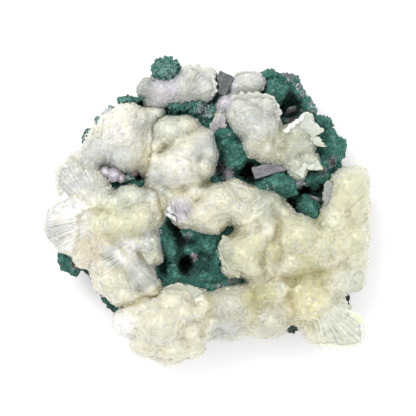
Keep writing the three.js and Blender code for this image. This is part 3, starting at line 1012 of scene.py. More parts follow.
@dataclass
class Cluster:
    """Domed fans of stilbite that grew together, with the rounded ends of their blades all over them."""

    name: str
    node: str
    slot: str
    domes: Tuple[Dome, ...]
    base: Tone = Tone.CREAM
    seed: int = 1
    coarse: float = 1.1  # faces of the fused domes, in mm
    melt: int = 10  # passes that fill the creases between domes
    voxel: float = 0.52  # faces of the finished skin, in mm
    wave: float = 1.5  # height of the broad unevenness, in mm
    wave_size: float = 11.0  # and its size across, in mm
    foot: float = 22.0  # the skin is flat below this height, deep in the crust, in mm
    fan: float = 7.0  # distance between the middles of neighbouring fans, in mm
    swell: float = 0.8  # how far a fan stands out, in mm
    plump: float = 0.5  # how far the whole skin is moved out again after melting, in mm
    scale: float = 2.1  # size of the rounded end of a blade, in mm
    tilt: float = 0.26  # how steeply each end rises away from its fan's middle
    groove_width: float = 0.5  # width of the groove between two ends, in mm
    groove_depth: float = 0.1  # its depth, in mm
    crease_part: float = 0.5  # part of each crease's depth that is carved
    dusk: str = "#d8cfb2"  # what the light turns into deep in a crease
    rim_highlight: float = 0.035  # painted highlight: how much lighter the raised edge of an end is painted
    groove_shade: float = 0.02  # painted shade: how much darker a groove is painted
    share: float = 0.16  # share of the ends that also stand out as thin blades
    low: float = 25.0  # no blades below this height, in mm
    sunk: float = 1.0  # how deep a thin blade stands in the skin, in mm
    pearl_and_glint: float = 0.3  # how much paler a thin blade is painted than the skin around it: partly its own pearly colour, partly a painted highlight for its glint

    def seeds(self, points: np.ndarray, size: float, salt: int) -> np.ndarray:
        """Pick points of the skin that lie about evenly far apart.

        Args:
            points: the skin's points.
            size: the distance between them in mm.
            salt: makes one choice differ from the next.

        Returns:
            Indices of the picked points.
        """
        order = np.random.default_rng(self.seed + salt).permutation(len(points))
        cells = np.floor(points[order] / (size * MM)).astype(int)
        _, first = np.unique(cells, axis=0, return_index=True)
        return order[first]

    @staticmethod
    def nearest_two(points: np.ndarray, middles: np.ndarray) -> Tuple[np.ndarray, np.ndarray]:
        """Find the two nearest middles of each point.

        Args:
            points: places to look from.
            middles: places to look for.

        Returns:
            The distances, two for each point, and the number of the nearest middle.
        """
        tree = KDTree(len(middles))
        for i, middle in enumerate(middles):
            tree.insert(middle, i)
        tree.balance()
        hits = [tree.find_n(at, 2) for at in points.tolist()]
        away = np.array([[hit[0][2], hit[-1][2]] for hit in hits])
        return away, np.array([hit[0][1] for hit in hits])

    def build_body(self, others: Sequence[Dome]) -> bpy.types.Object:
        """Fuse the domes, swell them into fans, cover them with the ends of blades and paint them, with
        painted shade in creases and grooves and painted highlights on the raised edges of the ends.

        Args:
            others: domes of the clusters around, beside which the creases get painted shade.

        Returns:
            The body's mesh object, painted with its tints and with painted light and shade.
        """
        body = self.fuse()
        points, fans = self.swell_fans(body)
        _, normals = vertices_of(body)
        ends = points[self.seeds(points, self.scale, 2)]
        away, mine = self.nearest_two(points, ends)
        _, fan_of = self.nearest_two(ends, fans)
        outward = unit(ends - fans[fan_of])
        random = np.random.default_rng(self.seed + 3)
        step = random.uniform(-0.15, 0.15, len(ends)) * MM
        groove = 1 - np.clip((away[:, 1] - away[:, 0]) / (self.groove_width * MM), 0, 1)
        ahead = np.sum((points - ends[mine]) * outward[mine], axis=1)
        fibrous, ridges = self.combed(points)
        ending = self.tilt * ahead + step[mine] - self.groove_depth * MM * groove
        height, creased = self.carve(points, ending * (1 - 0.8 * fibrous) + ridges)
        points = points + normals * height[:, None]
        move_vertices(body, points)
        smooth(body)
        # painted highlight on the raised edge of each end, and painted shade in the grooves between ends
        rim = np.clip(ahead / (0.5 * self.scale * MM), -1, 1) * (1 - fibrous)
        painted_light = 1 + self.rim_highlight * rim - self.groove_shade * groove
        # painted shade deep in creases and beside other clusters, and at half strength along the carved
        # creases
        painted_crease_shade = np.maximum(self.crease_shading(body, points, others), 0.5 * creased)
        dusk = np.array(linear(self.dusk))[:3]
        colours = tints(points, self.base, self.seed + 8)
        # paint the light and shade into the tints: painted shade toward the dusk colour, painted highlights
        # on rims and painted shade in grooves
        colours[:, :3] *= painted_light[:, None] * (1 - painted_crease_shade[:, None] * (1 - dusk))
        paint(body, np.clip(colours, 0, BRIGHTEST))
        return body

    def fuse(self) -> bpy.types.Object:
        """Melt the domes into one uneven skin that is flat underneath.

        Returns:
            The skin's mesh object.
        """
        body = join([dome.add() for dome in self.domes], f"{self.name}_body")
        remesh(body, self.coarse)
        modify(body, "SMOOTH", factor=0.7, iterations=self.melt)
        self.calm(body)
        relief(body, "CLOUDS", self.wave_size, self.wave)
        points, _ = vertices_of(body)
        points[:, 2] = np.maximum(points[:, 2], self.foot * MM)
        move_vertices(body, points)
        remesh(body, self.voxel)
        modify(body, "SMOOTH", factor=0.5, iterations=3)
        return body

    def swell_fans(self, body: bpy.types.Object) -> Tuple[np.ndarray, np.ndarray]:
        """Swell the skin into fans.

        Args:
            body: the skin.

        Returns:
            The skin's points and the fans' middles, in metres.
        """
        points, normals = vertices_of(body)
        fans = points[self.seeds(points, self.fan, 1)]
        away, _ = self.nearest_two(points, fans)
        pillow = np.clip((away[:, 1] - away[:, 0]) / (away.sum(axis=1) + 1e-9), 0, 1)
        raised = self.swell * (np.sqrt(pillow) - 0.45) + self.plump
        points = points + normals * (raised * MM)[:, None]
        move_vertices(body, points)
        return points, fans

    def carve(self, points: np.ndarray, height: np.ndarray) -> Tuple[np.ndarray, np.ndarray]:
        """Carve the creases between the forms into the relief.

        Args:
            points: the skin's points.
            height: the relief at each point, in metres.

        Returns:
            The carved relief, and how near each point is to a crease, from 0 to 1.
        """
        x, y = photo_places(points)
        creased = np.zeros(len(points))
        for crease in CREASES:
            near = crease.nearness(x, y) * (points[:, 2] > BED * MM)
            height = height - near * crease.depth * self.crease_part * MM
            creased = np.maximum(creased, near)
        return height, creased

    @staticmethod
    def calm(body: bpy.types.Object) -> None:
        """Even out the skin in its calm patches, and leave its rims alone."""
        points, _ = vertices_of(body)
        x, y = photo_places(points)
        weight = np.zeros(len(points))
        for spot in CALMS:
            away = ((x - spot.x) ** 2 + (y - spot.y) ** 2) / spot.radius**2
            weight = np.maximum(weight, np.exp(-(away**2)))
        weight *= points[:, 2] > BED * MM
        group = body.vertex_groups.new(name="calm")
        for index, value in enumerate(weight.tolist()):
            group.add([index], value, "REPLACE")
        modify(body, "SMOOTH", factor=1.0, iterations=40, vertex_group="calm")

    @staticmethod
    def combed(points: np.ndarray) -> Tuple[np.ndarray, np.ndarray]:
        """Work out where the crystals show as fibres, and the fibres' ridges.

        Args:
            points: the skin's points.

        Returns:
            How fibrous each point is, from 0 to 1, and the height of its ridge in metres.
        """
        x, y = photo_places(points)
        fibrous = np.zeros(len(points))
        ridges = np.zeros(len(points))
        for comb in COMBS:
            away = ((x - comb.x) ** 2 + (y - comb.y) ** 2) / comb.radius**2
            part = np.exp(-(away**2))
            angle = np.arctan2(y - comb.foot_y, x - comb.foot_x)
            reach = math.hypot(comb.x - comb.foot_x, comb.y - comb.foot_y)
            turn = angle * reach
            wave = np.sin(turn * 3.3) + np.sin(turn * 5.1 + 1.3) + 0.8 * np.sin(turn * 2.1 + 0.4)
            ridges += part * comb.depth * MM * wave / 3
            fibrous = np.maximum(fibrous, part)
        return fibrous, ridges

    def crease_shading(self, body: bpy.types.Object, points: np.ndarray, others: Sequence[Dome]) -> np.ndarray:
        """Tell how much painted shade each point gets, for lying deep in a crease or beside a dome of
        another cluster.

        Args:
            body: the skin.
            points: its points.
            others: domes of the clusters around, beside whose skins shade is painted.

        Returns:
            The painted shade for each point, from 0, on a crest, to 1, deep in a crease.
        """
        even = body.copy()
        even.data = body.data.copy()
        bpy.context.scene.collection.objects.link(even)
        modify(even, "SMOOTH", factor=1.0, iterations=60)
        level, normals = vertices_of(even)
        bpy.data.objects.remove(even)
        # painted shade grows with the depth below the smoothed skin, and near the edges of the other
        # clusters' domes
        depth = np.sum((level - points) * normals, axis=1) / MM
        painted_crease_shade = np.clip(depth / 1.3, 0, 1)
        for dome in others:
            edge = dome.distance(points)
            painted_crease_shade = np.maximum(painted_crease_shade, np.clip((1.22 - edge) / 0.22, 0, 1))
        return painted_crease_shade

    def grow_blades(
        self, body: bpy.types.Object, shape: SmallShape, others: Sequence[Dome]
    ) -> bpy.types.Object:
        """Stand thin blades out of some of the rounded ends, fanned out from the middle of each fan.

        Args:
            body: the mesh that they grow from.
            shape: the blade to copy.
            others: domes of the clusters around, which hide what lies inside them.

        Returns:
            The blades' mesh object.
        """
        random = np.random.default_rng(self.seed + 100)
        points, normals = vertices_of(body)
        fans = points[self.seeds(points, self.fan, 1)]
        chosen = self.seeds(points, self.scale * 0.75, 4)
        keep = (points[chosen, 2] > self.low * MM) & (normals[chosen, 2] > -0.4)
        keep &= random.uniform(0, 1, len(chosen)) < self.share
        for dome in others:
            keep &= dome.distance(points[chosen]) > 0.95
        chosen = chosen[keep]
        at = points[chosen]
        up = normals[chosen]
        count = len(chosen)
        _, fan_of = self.nearest_two(at, fans)
        outward = at - fans[fan_of]
        outward = unit(outward - up * np.sum(outward * up, axis=1, keepdims=True))
        along = unit(up + 0.55 * outward + 0.12 * random.standard_normal((count, 3)))
        wide = unit(np.cross(up, outward) + 0.35 * random.standard_normal((count, 3)))
        width = self.scale * MM * random.uniform(0.5, 1.0, count)
        thick = random.uniform(0.3, 0.5, count) * MM
        proud = random.uniform(0.15, 0.45, count) * MM
        sunk = self.sunk * MM
        sizes = np.stack([width, thick, proud + sunk], axis=1)
        blades = shape.copies(f"{self.name}_blades", at - along * sunk, along, wide, sizes)
        colours = tints(at, self.base, self.seed + 7)
        # the blades are painted paler, towards pearl white, partly as their own colour and partly as a
        # painted highlight
        pearl_and_glint = np.array(linear(Tone.PEARL.value))[:3]
        colours[:, :3] = colours[:, :3] * (1 - self.pearl_and_glint) + self.pearl_and_glint * pearl_and_glint
        paint(blades, np.repeat(colours, len(shape.points), axis=0))
        return blades

    def dress(self, piece: bpy.types.Object, material: bpy.types.Material) -> None:
        """Give a piece of the cluster its finish and its place in the table."""
        settle(piece, self.node, material)


CLUSTERS: Tuple[Cluster, ...] = (
    Cluster(
        "stilbite_left",
        "stilbite_mass",
        "stilbite",
        (
            Dome(-42, 38, 60, 10, 13.5),
            Dome(-41, 26, 56, 9, 8),
            Dome(-47, 31, 55, 8.5, 9),
            Dome(-40, 46, 54, 8.5, 6.5),
            Dome(-49, 41, 51, 6, 7, -20),
            Dome(-31, 44, 50, 6, 6),
            Dome(-35, 31, 52, 5, 9),
            Dome(-55, 28, 49, 9, 6.5, 20),
            Dome(-63, 25, 46, 7.5, 4, 10),
            Dome(-57, 33, 45, 5, 5.5, 50),
            Dome(-26, 47, 47, 4.5, 3.5),
            Dome(-45, 34, 46, 14, 15),
            Dome(-68, -3, 50, 11.5, 8.5, 12),
            Dome(-74, -7, 46, 8, 9),
            Dome(-77, -3, 44, 6, 5),
            Dome(-76, -11, 43, 5.5, 6),
            Dome(-70, -15, 45, 8, 8, -30),
            Dome(-60, 0, 52, 9, 7.5),
            Dome(-61, -12, 48, 8, 9),
            Dome(-66, -19, 42, 8, 5),
            Dome(-66, 13, 47, 10, 9.5, 10),
            Dome(-57, 12, 48, 8, 8.5),
            Dome(-70, 17, 44, 6.5, 5),
            Dome(-53, 7, 50, 6, 5.5),
            Dome(-62, 4, 46, 12, 11),
            Dome(-44, -8, 60, 16, 9.5),
            Dome(-38, 5, 54, 9, 7),
            Dome(-33, -5, 58, 7.5, 9.5),
            Dome(-54, -9, 56, 8.5, 8.5),
            Dome(-47, 2, 53, 7, 6),
            Dome(-42, -5, 47, 19, 15),
            Dome(-57, -21, 50, 9, 8.5),
            Dome(-62, -24, 44, 6, 6),
            Dome(-52, -28, 51, 8, 7),
            Dome(-50, -19, 56, 9, 6.5, -35),
            Dome(-41, -26, 57, 9, 6.5, -40),
            Dome(-33, -34, 55, 8, 6.5, -50),
            Dome(-28, -41, 50, 5.5, 6),
            Dome(-30, -18, 51, 7, 7, -20),
            Dome(-26, -24, 46, 3.6, 4.5),
            Dome(-49, -36, 53, 9.5, 8, -20),
            Dome(-42, -42, 52, 8.5, 7.5),
            Dome(-36, -46, 49, 6.5, 6),
            Dome(-43, -31, 47, 16, 15),
            Dome(-30, 30, 49, 6, 17),
            Dome(-27, 2, 49, 6, 12),
            Dome(-62, 20, 46, 10, 4.5),
            Dome(-54, 3, 50, 8, 8),
            Dome(-58, -14, 47, 8, 8),
            Dome(-40, -16, 51, 15, 7),
        ),
        seed=11,
    ),
    Cluster(
        "stilbite_main",
        "stilbite_mass",
        "stilbite",
        (
            Dome(-15, 20, 64, 12.5, 11),
            Dome(-10, 29, 59, 10, 8.5),
            Dome(-19, 38, 57, 9.5, 8),
            Dome(-11, 41, 54, 6.5, 5),
            Dome(-2.5, 34.5, 55, 6, 5.5),
            Dome(0, 27, 55, 5, 6),
            Dome(-2, 20, 54, 5.5, 6),
            Dome(-26, 30.5, 52, 4.2, 4.2),
            Dome(-27, 24, 53, 4.2, 4.5),
            Dome(-26.5, 17, 54, 5.5, 6),
            Dome(-20, 12, 53, 8, 5),
            Dome(-8, 12.5, 54, 7, 5),
            Dome(-12, 27, 48, 16, 18),
            Dome(7, 3, 62, 12, 9.5),
            Dome(-2, -4, 58, 9, 8.5),
            Dome(3, -8, 54, 7, 5.5),
            Dome(13, 10, 50, 6, 4.5),
            Dome(16, -1, 57, 7.5, 8),
            Dome(-13, 3, 54, 8.5, 7.5),
            Dome(-18, 8, 49, 6, 6),
            Dome(-12, -5, 50, 7, 5, -30),
            Dome(-6, 8, 53, 7, 5),
            Dome(-24, 4, 47, 5.5, 10),
            Dome(-1, 2, 46, 20, 12),
            Dome(18, -23, 60, 10.5, 10.5),
            Dome(24, -16, 58, 7.5, 7.5),
            Dome(10, -21, 54, 5.5, 7),
            Dome(22, -31, 55, 6.5, 5),
            Dome(12, -30, 50, 5.5, 5),
            Dome(30, -11, 56, 6, 7),
            Dome(20, -8, 54, 8, 6),
            Dome(30, 2, 56, 8.5, 6.5),
            Dome(37, -3, 54, 6, 5.5),
            Dome(26, -4, 55, 7, 7),
            Dome(23, -20, 48, 14, 13),
            Dome(28, -3, 46, 12, 9),
            Dome(-18, 11, 51, 15, 5),
            Dome(33, -8, 51, 6, 7),
            Dome(24, 2, 51, 7, 8),
            Dome(18, 7, 51, 7, 5),
            Dome(45, -14, 60, 11, 11),
            Dome(38, -18, 56, 7, 8),
            Dome(42, -28, 56, 9.5, 8),
            Dome(52, -25, 55, 9, 8),
            Dome(57, -18, 54, 8, 8),
            Dome(66, -19, 52, 10, 10),
            Dome(73.5, -14, 50, 7.5, 8),
            Dome(74, -25, 46, 6.5, 8),
            Dome(35, -31, 50, 7, 5),
            Dome(60, -30, 50, 10, 6),
            Dome(50, -35, 49, 11, 5.5),
            Dome(67, -34, 45, 9, 7),
            Dome(73.5, -35, 41, 5, 7),
            Dome(70, 10, 53, 9.5, 10.5),
            Dome(74.5, 1, 50, 7, 9),
            Dome(65, 3, 50, 6, 9),
            Dome(65, -7, 50, 6, 8),
            Dome(75, 13, 48, 6, 8),
            Dome(52, -22, 47, 17, 16),
            Dome(70, -8, 46, 11, 22),
            Dome(52, -47, 57, 11.5, 10.5),
            Dome(60, -55, 53, 9, 9),
            Dome(67, -60, 49, 9, 8.5),
            Dome(57, -62.5, 46, 9, 6.5),
            Dome(73, -61, 45, 4.5, 6.5),
            Dome(65.5, -53, 47, 5, 5),
            Dome(52, -40, 47, 13, 6),
            Dome(58, -54, 44, 14, 13),
            Dome(34, -24, 51, 5, 12),
            Dome(42, -40, 49, 9, 6),
            Dome(42, -51, 47, 6, 9),
            Dome(49, -38, 49, 12, 6),
            Dome(60, -39, 47, 13, 6),
            Dome(57, -47, 47, 7, 5),
            Dome(31, -22, 53, 4.5, 12),
            Dome(34, -34, 50, 6, 5),
            Dome(61, -10, 49, 6, 15),
            Dome(-24, -57, 60, 14.5, 12.5),
            Dome(-18, -46, 55, 9, 7),
            Dome(-12, -52, 54, 7.5, 7.5),
            Dome(-35, -56, 53, 8.5, 9),
            Dome(-41.5, -57, 46, 6, 7),
            Dome(-30, -67, 50, 9, 7.5),
            Dome(-18, -69, 50, 10, 7.5),
            Dome(-8, -62, 50, 7, 7.5),
            Dome(-8, -70, 44, 6.5, 5),
            Dome(-2, -61, 46, 4.5, 5.5),
            Dome(-31, -48, 52, 8, 6),
            Dome(-20, -74, 43, 8.5, 4.5),
            Dome(-22, -60, 48, 18, 15),
            Dome(12, -48, 54, 11, 9),
            Dome(2, -48, 48, 7, 6.5),
            Dome(20, -44, 49, 8, 6),
            Dome(31, -43, 46, 12, 6.5),
            Dome(32, -56, 52, 9, 9),
            Dome(23, -54, 50, 7, 8),
            Dome(10, -57, 45, 9, 4.5),
            Dome(9, -62.5, 39, 12, 4),
            Dome(40, -50, 45, 5, 7),
            Dome(18, -50, 45, 19, 9),
            Dome(-34, -49, 51, 9, 6),
            Dome(-27, -50, 51, 8, 7),
            Dome(-5, -52, 49, 7, 6),
            Dome(0, -56, 46, 7, 7),
            Dome(27, -38, 47, 7, 5),
            Dome(26, -56, 46, 6, 9),
            Dome(-12, -43, 48, 7, 4.5),
            Dome(-4, -45, 47, 6, 5),
            Dome(73, -64, 44, 4.5, 5),
            Dome(66, -64.5, 45, 8, 4.5),
        ),
        seed=12,
        voxel=0.69,
    ),
    Cluster(
        "stilbite_upper_right_fans",
        "stilbite_upper_right",
        "stilbite",
        (
            Dome(20, 44, 56, 9.5, 9.5),
            Dome(26, 38, 57, 8.5, 10),
            Dome(15, 50, 53, 7, 6),
            Dome(29, 50, 54, 5.5, 6),
            Dome(23, 53, 50, 6.5, 3.8),
            Dome(22, 32, 52, 5, 7),
            Dome(29, 29, 54, 7, 6.5),
            Dome(32.5, 40, 51, 4, 8),
            Dome(12, 46, 50, 4, 5),
            Dome(25, 42, 48, 9.5, 12),
            Dome(44, 36, 54, 7, 6.5),
            Dome(49, 42, 52, 4.2, 5),
            Dome(41, 29, 53, 6.5, 7),
            Dome(48, 31, 52, 5.5, 6),
            Dome(36, 26, 51, 5, 5),
            Dome(51, 24, 50, 5.5, 4, -30),
            Dome(44, 22, 50, 7, 5),
            Dome(44.5, 17.5, 48, 4.5, 3.6),
            Dome(44, 30, 46, 8.5, 12),
            Dome(36, 34, 49, 6, 8),
            Dome(20, 62, 46, 8, 6),
            Dome(14, 60.5, 43, 4.5, 5),
            Dome(25, 63, 44, 4.5, 4.5),
            Dome(8, 52.5, 47, 3.6, 5.5, -40),
            Dome(5.5, 45, 43, 2.8, 4.5),
        ),
        base=Tone.GREENISH,
        seed=21,
        coarse=0.9,
        melt=16,
        fan=6.0,
    ),
    Cluster(
        "stilbite_top_fans",
        "stilbite_top",
        "pale_stilbite",
        (
            Dome(-30, 59, 44, 5.2, 6),
            Dome(-22, 58, 48, 8, 7),
            Dome(-13, 60, 50, 8, 7),
            Dome(-2, 60, 52, 6.5, 7),
            Dome(-8, 66, 50, 6.5, 5),
            Dome(0, 65.5, 47, 4.2, 4.5),
            Dome(-26, 53, 43, 6, 4),
            Dome(-13, 58, 44, 16, 7),
        ),
        base=Tone.SILVER,
        seed=22,
        coarse=0.9,
        melt=9,
        fan=5.0,
    ),
)


@dataclass
class Spray:
    """Single blades side by side along the rim of a fan, their flat faces up."""

    name: str
    node: str
    slot: str
    foot: Tuple[float, float, float]
    rim: Tuple[Tuple[float, float, float], ...]
    count: int
    width: float
    tone: Tone
    seed: int
    uneven: float = 0.5  # how far the blades' ends lie apart, in mm
    scallop: float = 0.8  # height of the lobes of the rim, in mm
    lobe: float = 4.2  # width of a lobe, in mm
    part: float = 0.58  # share of the way from the foot to the rim that a blade covers
    end: BladeEnd = BladeEnd.ROUNDED

    def tips(self, random: np.random.Generator) -> np.ndarray:
        """Spread the blades' tips along the rim.

        Args:
            random: where the chance comes from.

        Returns:
            One tip for each blade, in metres.
        """
        rim = np.array([place(*point) for point in self.rim])
        out = unit(rim - np.array(place(*self.foot)))
        steps = np.linalg.norm(np.diff(rim, axis=0), axis=1)
        reach = np.concatenate([[0.0], np.cumsum(steps)])
        at = np.linspace(0, reach[-1], self.count) + random.normal(0, 0.4 * MM, self.count)
        tips = np.stack([np.interp(at, reach, rim[:, axis]) for axis in range(3)], axis=1)
        away = np.stack([np.interp(at, reach, out[:, axis]) for axis in range(3)], axis=1)
        lobes = self.scallop * MM * (np.abs(np.sin(at / (self.lobe * MM) * math.pi + self.seed)) - 0.6)
        return tips + away * (lobes + random.normal(0, self.uneven * MM, self.count))[:, None]

    def build(self, shapes: Dict[BladeEnd, SmallShape]) -> bpy.types.Object:
        """Lay the blades from the foot towards the rim.

        Args:
            shapes: the blades to copy.

        Returns:
            The mesh object.
        """
        random = np.random.default_rng(self.seed)
        tips = self.tips(random)
        reach = tips - np.array(place(*self.foot))
        away = np.linalg.norm(reach, axis=1)
        along = reach / away[:, None]
        level = np.cross(along, np.array([0.0, 0.0, 1.0]))
        wide = unit(level + 0.22 * random.standard_normal((self.count, 3)))
        length = away * self.part * random.uniform(0.8, 1.2, self.count)
        width = self.width * MM * random.uniform(0.7, 1.25, self.count)
        sizes = np.stack([width, width * 0.3, length], axis=1)
        blades = shapes[self.end].copies(self.name, tips - along * length[:, None], along, wide, sizes)
        modify(blades, "BEVEL", width=0.12 * MM, segments=1)
        remesh(blades, 0.36)
        relief(blades, "CLOUDS", 1.6, 0.9)
        modify(blades, "SMOOTH", factor=0.5, iterations=2)
        smooth(blades)
        points, _ = vertices_of(blades)
        colours = np.tile(np.array(linear(self.tone.value)), (len(points), 1))
        colours[:, :3] *= BLADE_LEVEL
        paint(blades, colours)
        return blades

    def dress(self, piece: bpy.types.Object, material: bpy.types.Material) -> None:
        """Give the spray its finish and its place in the table."""
        settle(piece, self.node, material)


SPRAYS: Tuple[Spray, ...] = (
    Spray(
        "stilbite_left_spray",
        "stilbite_mass",
        "stilbite",
        (-56, -4, 42),
        ((-72, 7, 44), (-78, 3, 43), (-82.5, -0.5, 42), (-81, -6, 42), (-79, -12, 41), (-76, -17, 40)),
        count=44,
        width=1.7,
        tone=Tone.PEARL,
        seed=31,
    ),
    Spray(
        "stilbite_upper_left_spray",
        "stilbite_mass",
        "stilbite",
        (-56, 8, 42),
        ((-70, 22, 43), (-75, 18, 42), (-76, 12, 42), (-73, 7, 43)),
        count=24,
        width=1.8,
        tone=Tone.SILVER,
        seed=32,
    ),
    Spray(
        "stilbite_corner_spray",
        "stilbite_mass",
        "stilbite",
        (56, -46, 44),
        ((76, -53, 43), (77.5, -61, 42), (76.5, -67.5, 41), (70, -69.5, 41), (62, -70, 41), (56, -68.5, 42)),
        count=56,
        width=1.5,
        tone=Tone.MINT,
        seed=33,
        uneven=0.4,
        scallop=0.3,
    ),
    Spray(
        "stilbite_hollow_spray",
        "stilbite_mass",
        "stilbite",
        (18, -20, 46),
        ((7, -14, 50), (5.5, -18, 50), (5.5, -22, 50), (7, -27, 50), (10, -31, 50), (15, -34.5, 50)),
        count=32,
        width=1.9,
        tone=Tone.SAGE,
        seed=34,
    ),
    Spray(
        "stilbite_lilac_spray",
        "stilbite_mass",
        "stilbite",
        (-17, 12, 46),
        ((-21, -4, 48), (-17, -6.5, 48), (-12, -8, 48), (-8, -7, 49)),
        count=26,
        width=0.9,
        tone=Tone.PEARL,
        seed=35,
    ),
    Spray(
        "stilbite_clear_spray",
        "stilbite_mass",
        "stilbite",
        (-36, -15, 46),
        ((-26.5, -16, 50), (-25, -20, 49), (-25.5, -24, 48), (-28.5, -28, 48)),
        count=12,
        width=2.8,
        tone=Tone.SAGE,
        seed=36,
    ),
    Spray(
        "stilbite_grey_spray",
        "stilbite_mass",
        "stilbite",
        (-13, -52, 44),
        ((-21, -38, 46), (-14, -37.5, 46), (-8, -38.5, 46), (-3, -40.5, 46)),
        count=14,
        width=2.6,
        tone=Tone.SAGE,
        seed=37,
    ),
    Spray(
        "stilbite_right_spray",
        "stilbite_mass",
        "stilbite",
        (68, 4, 43),
        ((59, 14, 45), (57, 10, 45), (56.5, 5, 44), (58, 1, 43)),
        count=12,
        width=2.6,
        tone=Tone.GREY,
        seed=38,
    ),
    Spray(
        "stilbite_wing_rim",
        "stilbite_upper_right",
        "stilbite",
        (44, 31, 47),
        ((37, 38.5, 52), (40, 41, 53), (43.5, 43.5, 54), (47.5, 47, 54)),
        count=24,
        width=1.2,
        tone=Tone.PEARL,
        seed=39,
        uneven=0.25,
        scallop=0.2,
        part=0.22,
    ),
    Spray(
        "stilbite_wing_blades",
        "stilbite_upper_right",
        "stilbite",
        (45, 33, 47),
        ((48.5, 47, 53), (51, 45, 53), (54, 42, 52), (57, 38.5, 51)),
        count=6,
        width=3.4,
        tone=Tone.GLASS,
        seed=40,
        uneven=1.0,
    ),
    Spray(
        "stilbite_wing_points",
        "stilbite_upper_right",
        "stilbite",
        (43, 27, 45),
        ((57, 19, 48), (47, 15, 48)),
        count=2,
        width=8.0,
        tone=Tone.GLASS,
        seed=41,
        uneven=0.2,
        scallop=0.0,
        part=0.8,
        end=BladeEnd.POINTED,
    ),
    Spray(
        "stilbite_wing_needles",
        "stilbite_upper_right",
        "stilbite",
        (46, 33, 46),
        ((56, 35, 50), (59, 30.5, 49)),
        count=4,
        width=2.2,
        tone=Tone.GLASS,
        seed=45,
        uneven=0.6,
        scallop=0.0,
        part=0.5,
        end=BladeEnd.POINTED,
    ),
    Spray(
        "stilbite_head_blades",
        "stilbite_upper_right",
        "stilbite",
        (25, 43, 40),
        (
            (12, 55, 48),
            (19, 57, 49),
            (25, 57, 49),
            (30, 56.5, 49),
            (34, 53, 49),
            (36, 48, 47),
            (35, 42, 46),
        ),
        count=26,
        width=3.0,
        tone=Tone.SILVER,
        seed=42,
        uneven=0.4,
        scallop=1.4,
    ),
    Spray(
        "stilbite_tuft_blades",
        "stilbite_upper_right",
        "stilbite",
        (20, 58, 34),
        ((28, 60, 40), (27.5, 65, 40), (23, 68.5, 39), (17, 68, 39), (12.5, 65, 39)),
        count=18,
        width=2.8,
        tone=Tone.SILVER,
        seed=43,
    ),
    Spray(
        "quartz_upper_blades",
        "quartz_upper_centre",
        "quartz",
        (5, 36, 36),
        ((1, 42, 45), (4, 45.5, 47), (8, 46.5, 47), (9.5, 42, 46)),
        count=7,
        width=3.2,
        tone=Tone.LILAC,
        seed=46,
        uneven=0.6,
        scallop=0.0,
        part=0.6,
        end=BladeEnd.POINTED,
    ),
    Spray(
        "stilbite_top_blades",
        "stilbite_top",
        "pale_stilbite",
        (-8, 56, 42),
        ((3.5, 56, 47), (4.5, 62, 48), (1, 67.5, 48), (-5, 70.5, 48), (-12, 69.5, 47)),
        count=26,
        width=2.2,
        tone=Tone.SILVER,
        seed=44,
    ),
)


# The rock


@dataclass(frozen=True)
class Pit:
    """A hole pressed straight down."""

    x: float
    y: float
    half_x: float
    half_y: float
    turn: float
    floor: float  # height of its lowest point, in mm


def press(piece: bpy.types.Object, pits: Sequence[Pit]) -> None:
    """Press holes straight down into a piece.

    Args:
        piece: its mesh object.
        pits: the holes.
    """
    points, normals = vertices_of(piece)
    for pit in pits:
        away = points - np.array(place(pit.x, pit.y, 0))
        spin = math.radians(pit.turn)
        along = (away[:, 0] * math.cos(spin) + away[:, 1] * math.sin(spin)) / (pit.half_x * MM)
        across = (away[:, 1] * math.cos(spin) - away[:, 0] * math.sin(spin)) / (pit.half_y * MM)
        inside = np.clip(1.6 * (1 - along**2 - across**2), 0, 1)
        inside = inside * inside * (3 - 2 * inside) * (normals[:, 2] > -0.3)
        floor = pit.floor * MM
        sunk = np.minimum(points[:, 2], floor + 0.12 * (points[:, 2] - floor))
        points[:, 2] += inside * (sunk - points[:, 2])
    move_vertices(piece, points)


@dataclass
class Basalt:
    """The dark rock that everything grew on, with a flat sawn back."""

    node: str = "basalt_matrix"
    voxel: float = 1.6
    holes: Tuple[Pit, ...] = (
        Pit(-12, -29, 5.2, 7.2, 0, 6),
        Pit(20, 19, 4.5, 6, -30, 8),
        Pit(39.5, 50, 4.5, 7, -35, 8),
    )

    def build(self) -> bpy.types.Object:
        """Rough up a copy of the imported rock, away from its flat back.

        Returns:
            The mesh object.
        """
        rock = copy_of(self.node, "basalt_rock")
        remesh(rock, self.voxel)
        group = rock.vertex_groups.new(name="broken")
        for vertex in rock.data.vertices:
            group.add([vertex.index], min(1.0, max(0.0, (vertex.co.z / MM - 1.5) / 4)), "REPLACE")
        relief(rock, "CLOUDS", 9, 2.4, "broken")
        relief(rock, "CLOUDS", 3, 0.9, "broken")
        press(rock, self.holes)
        smooth(rock, 40)
        return rock


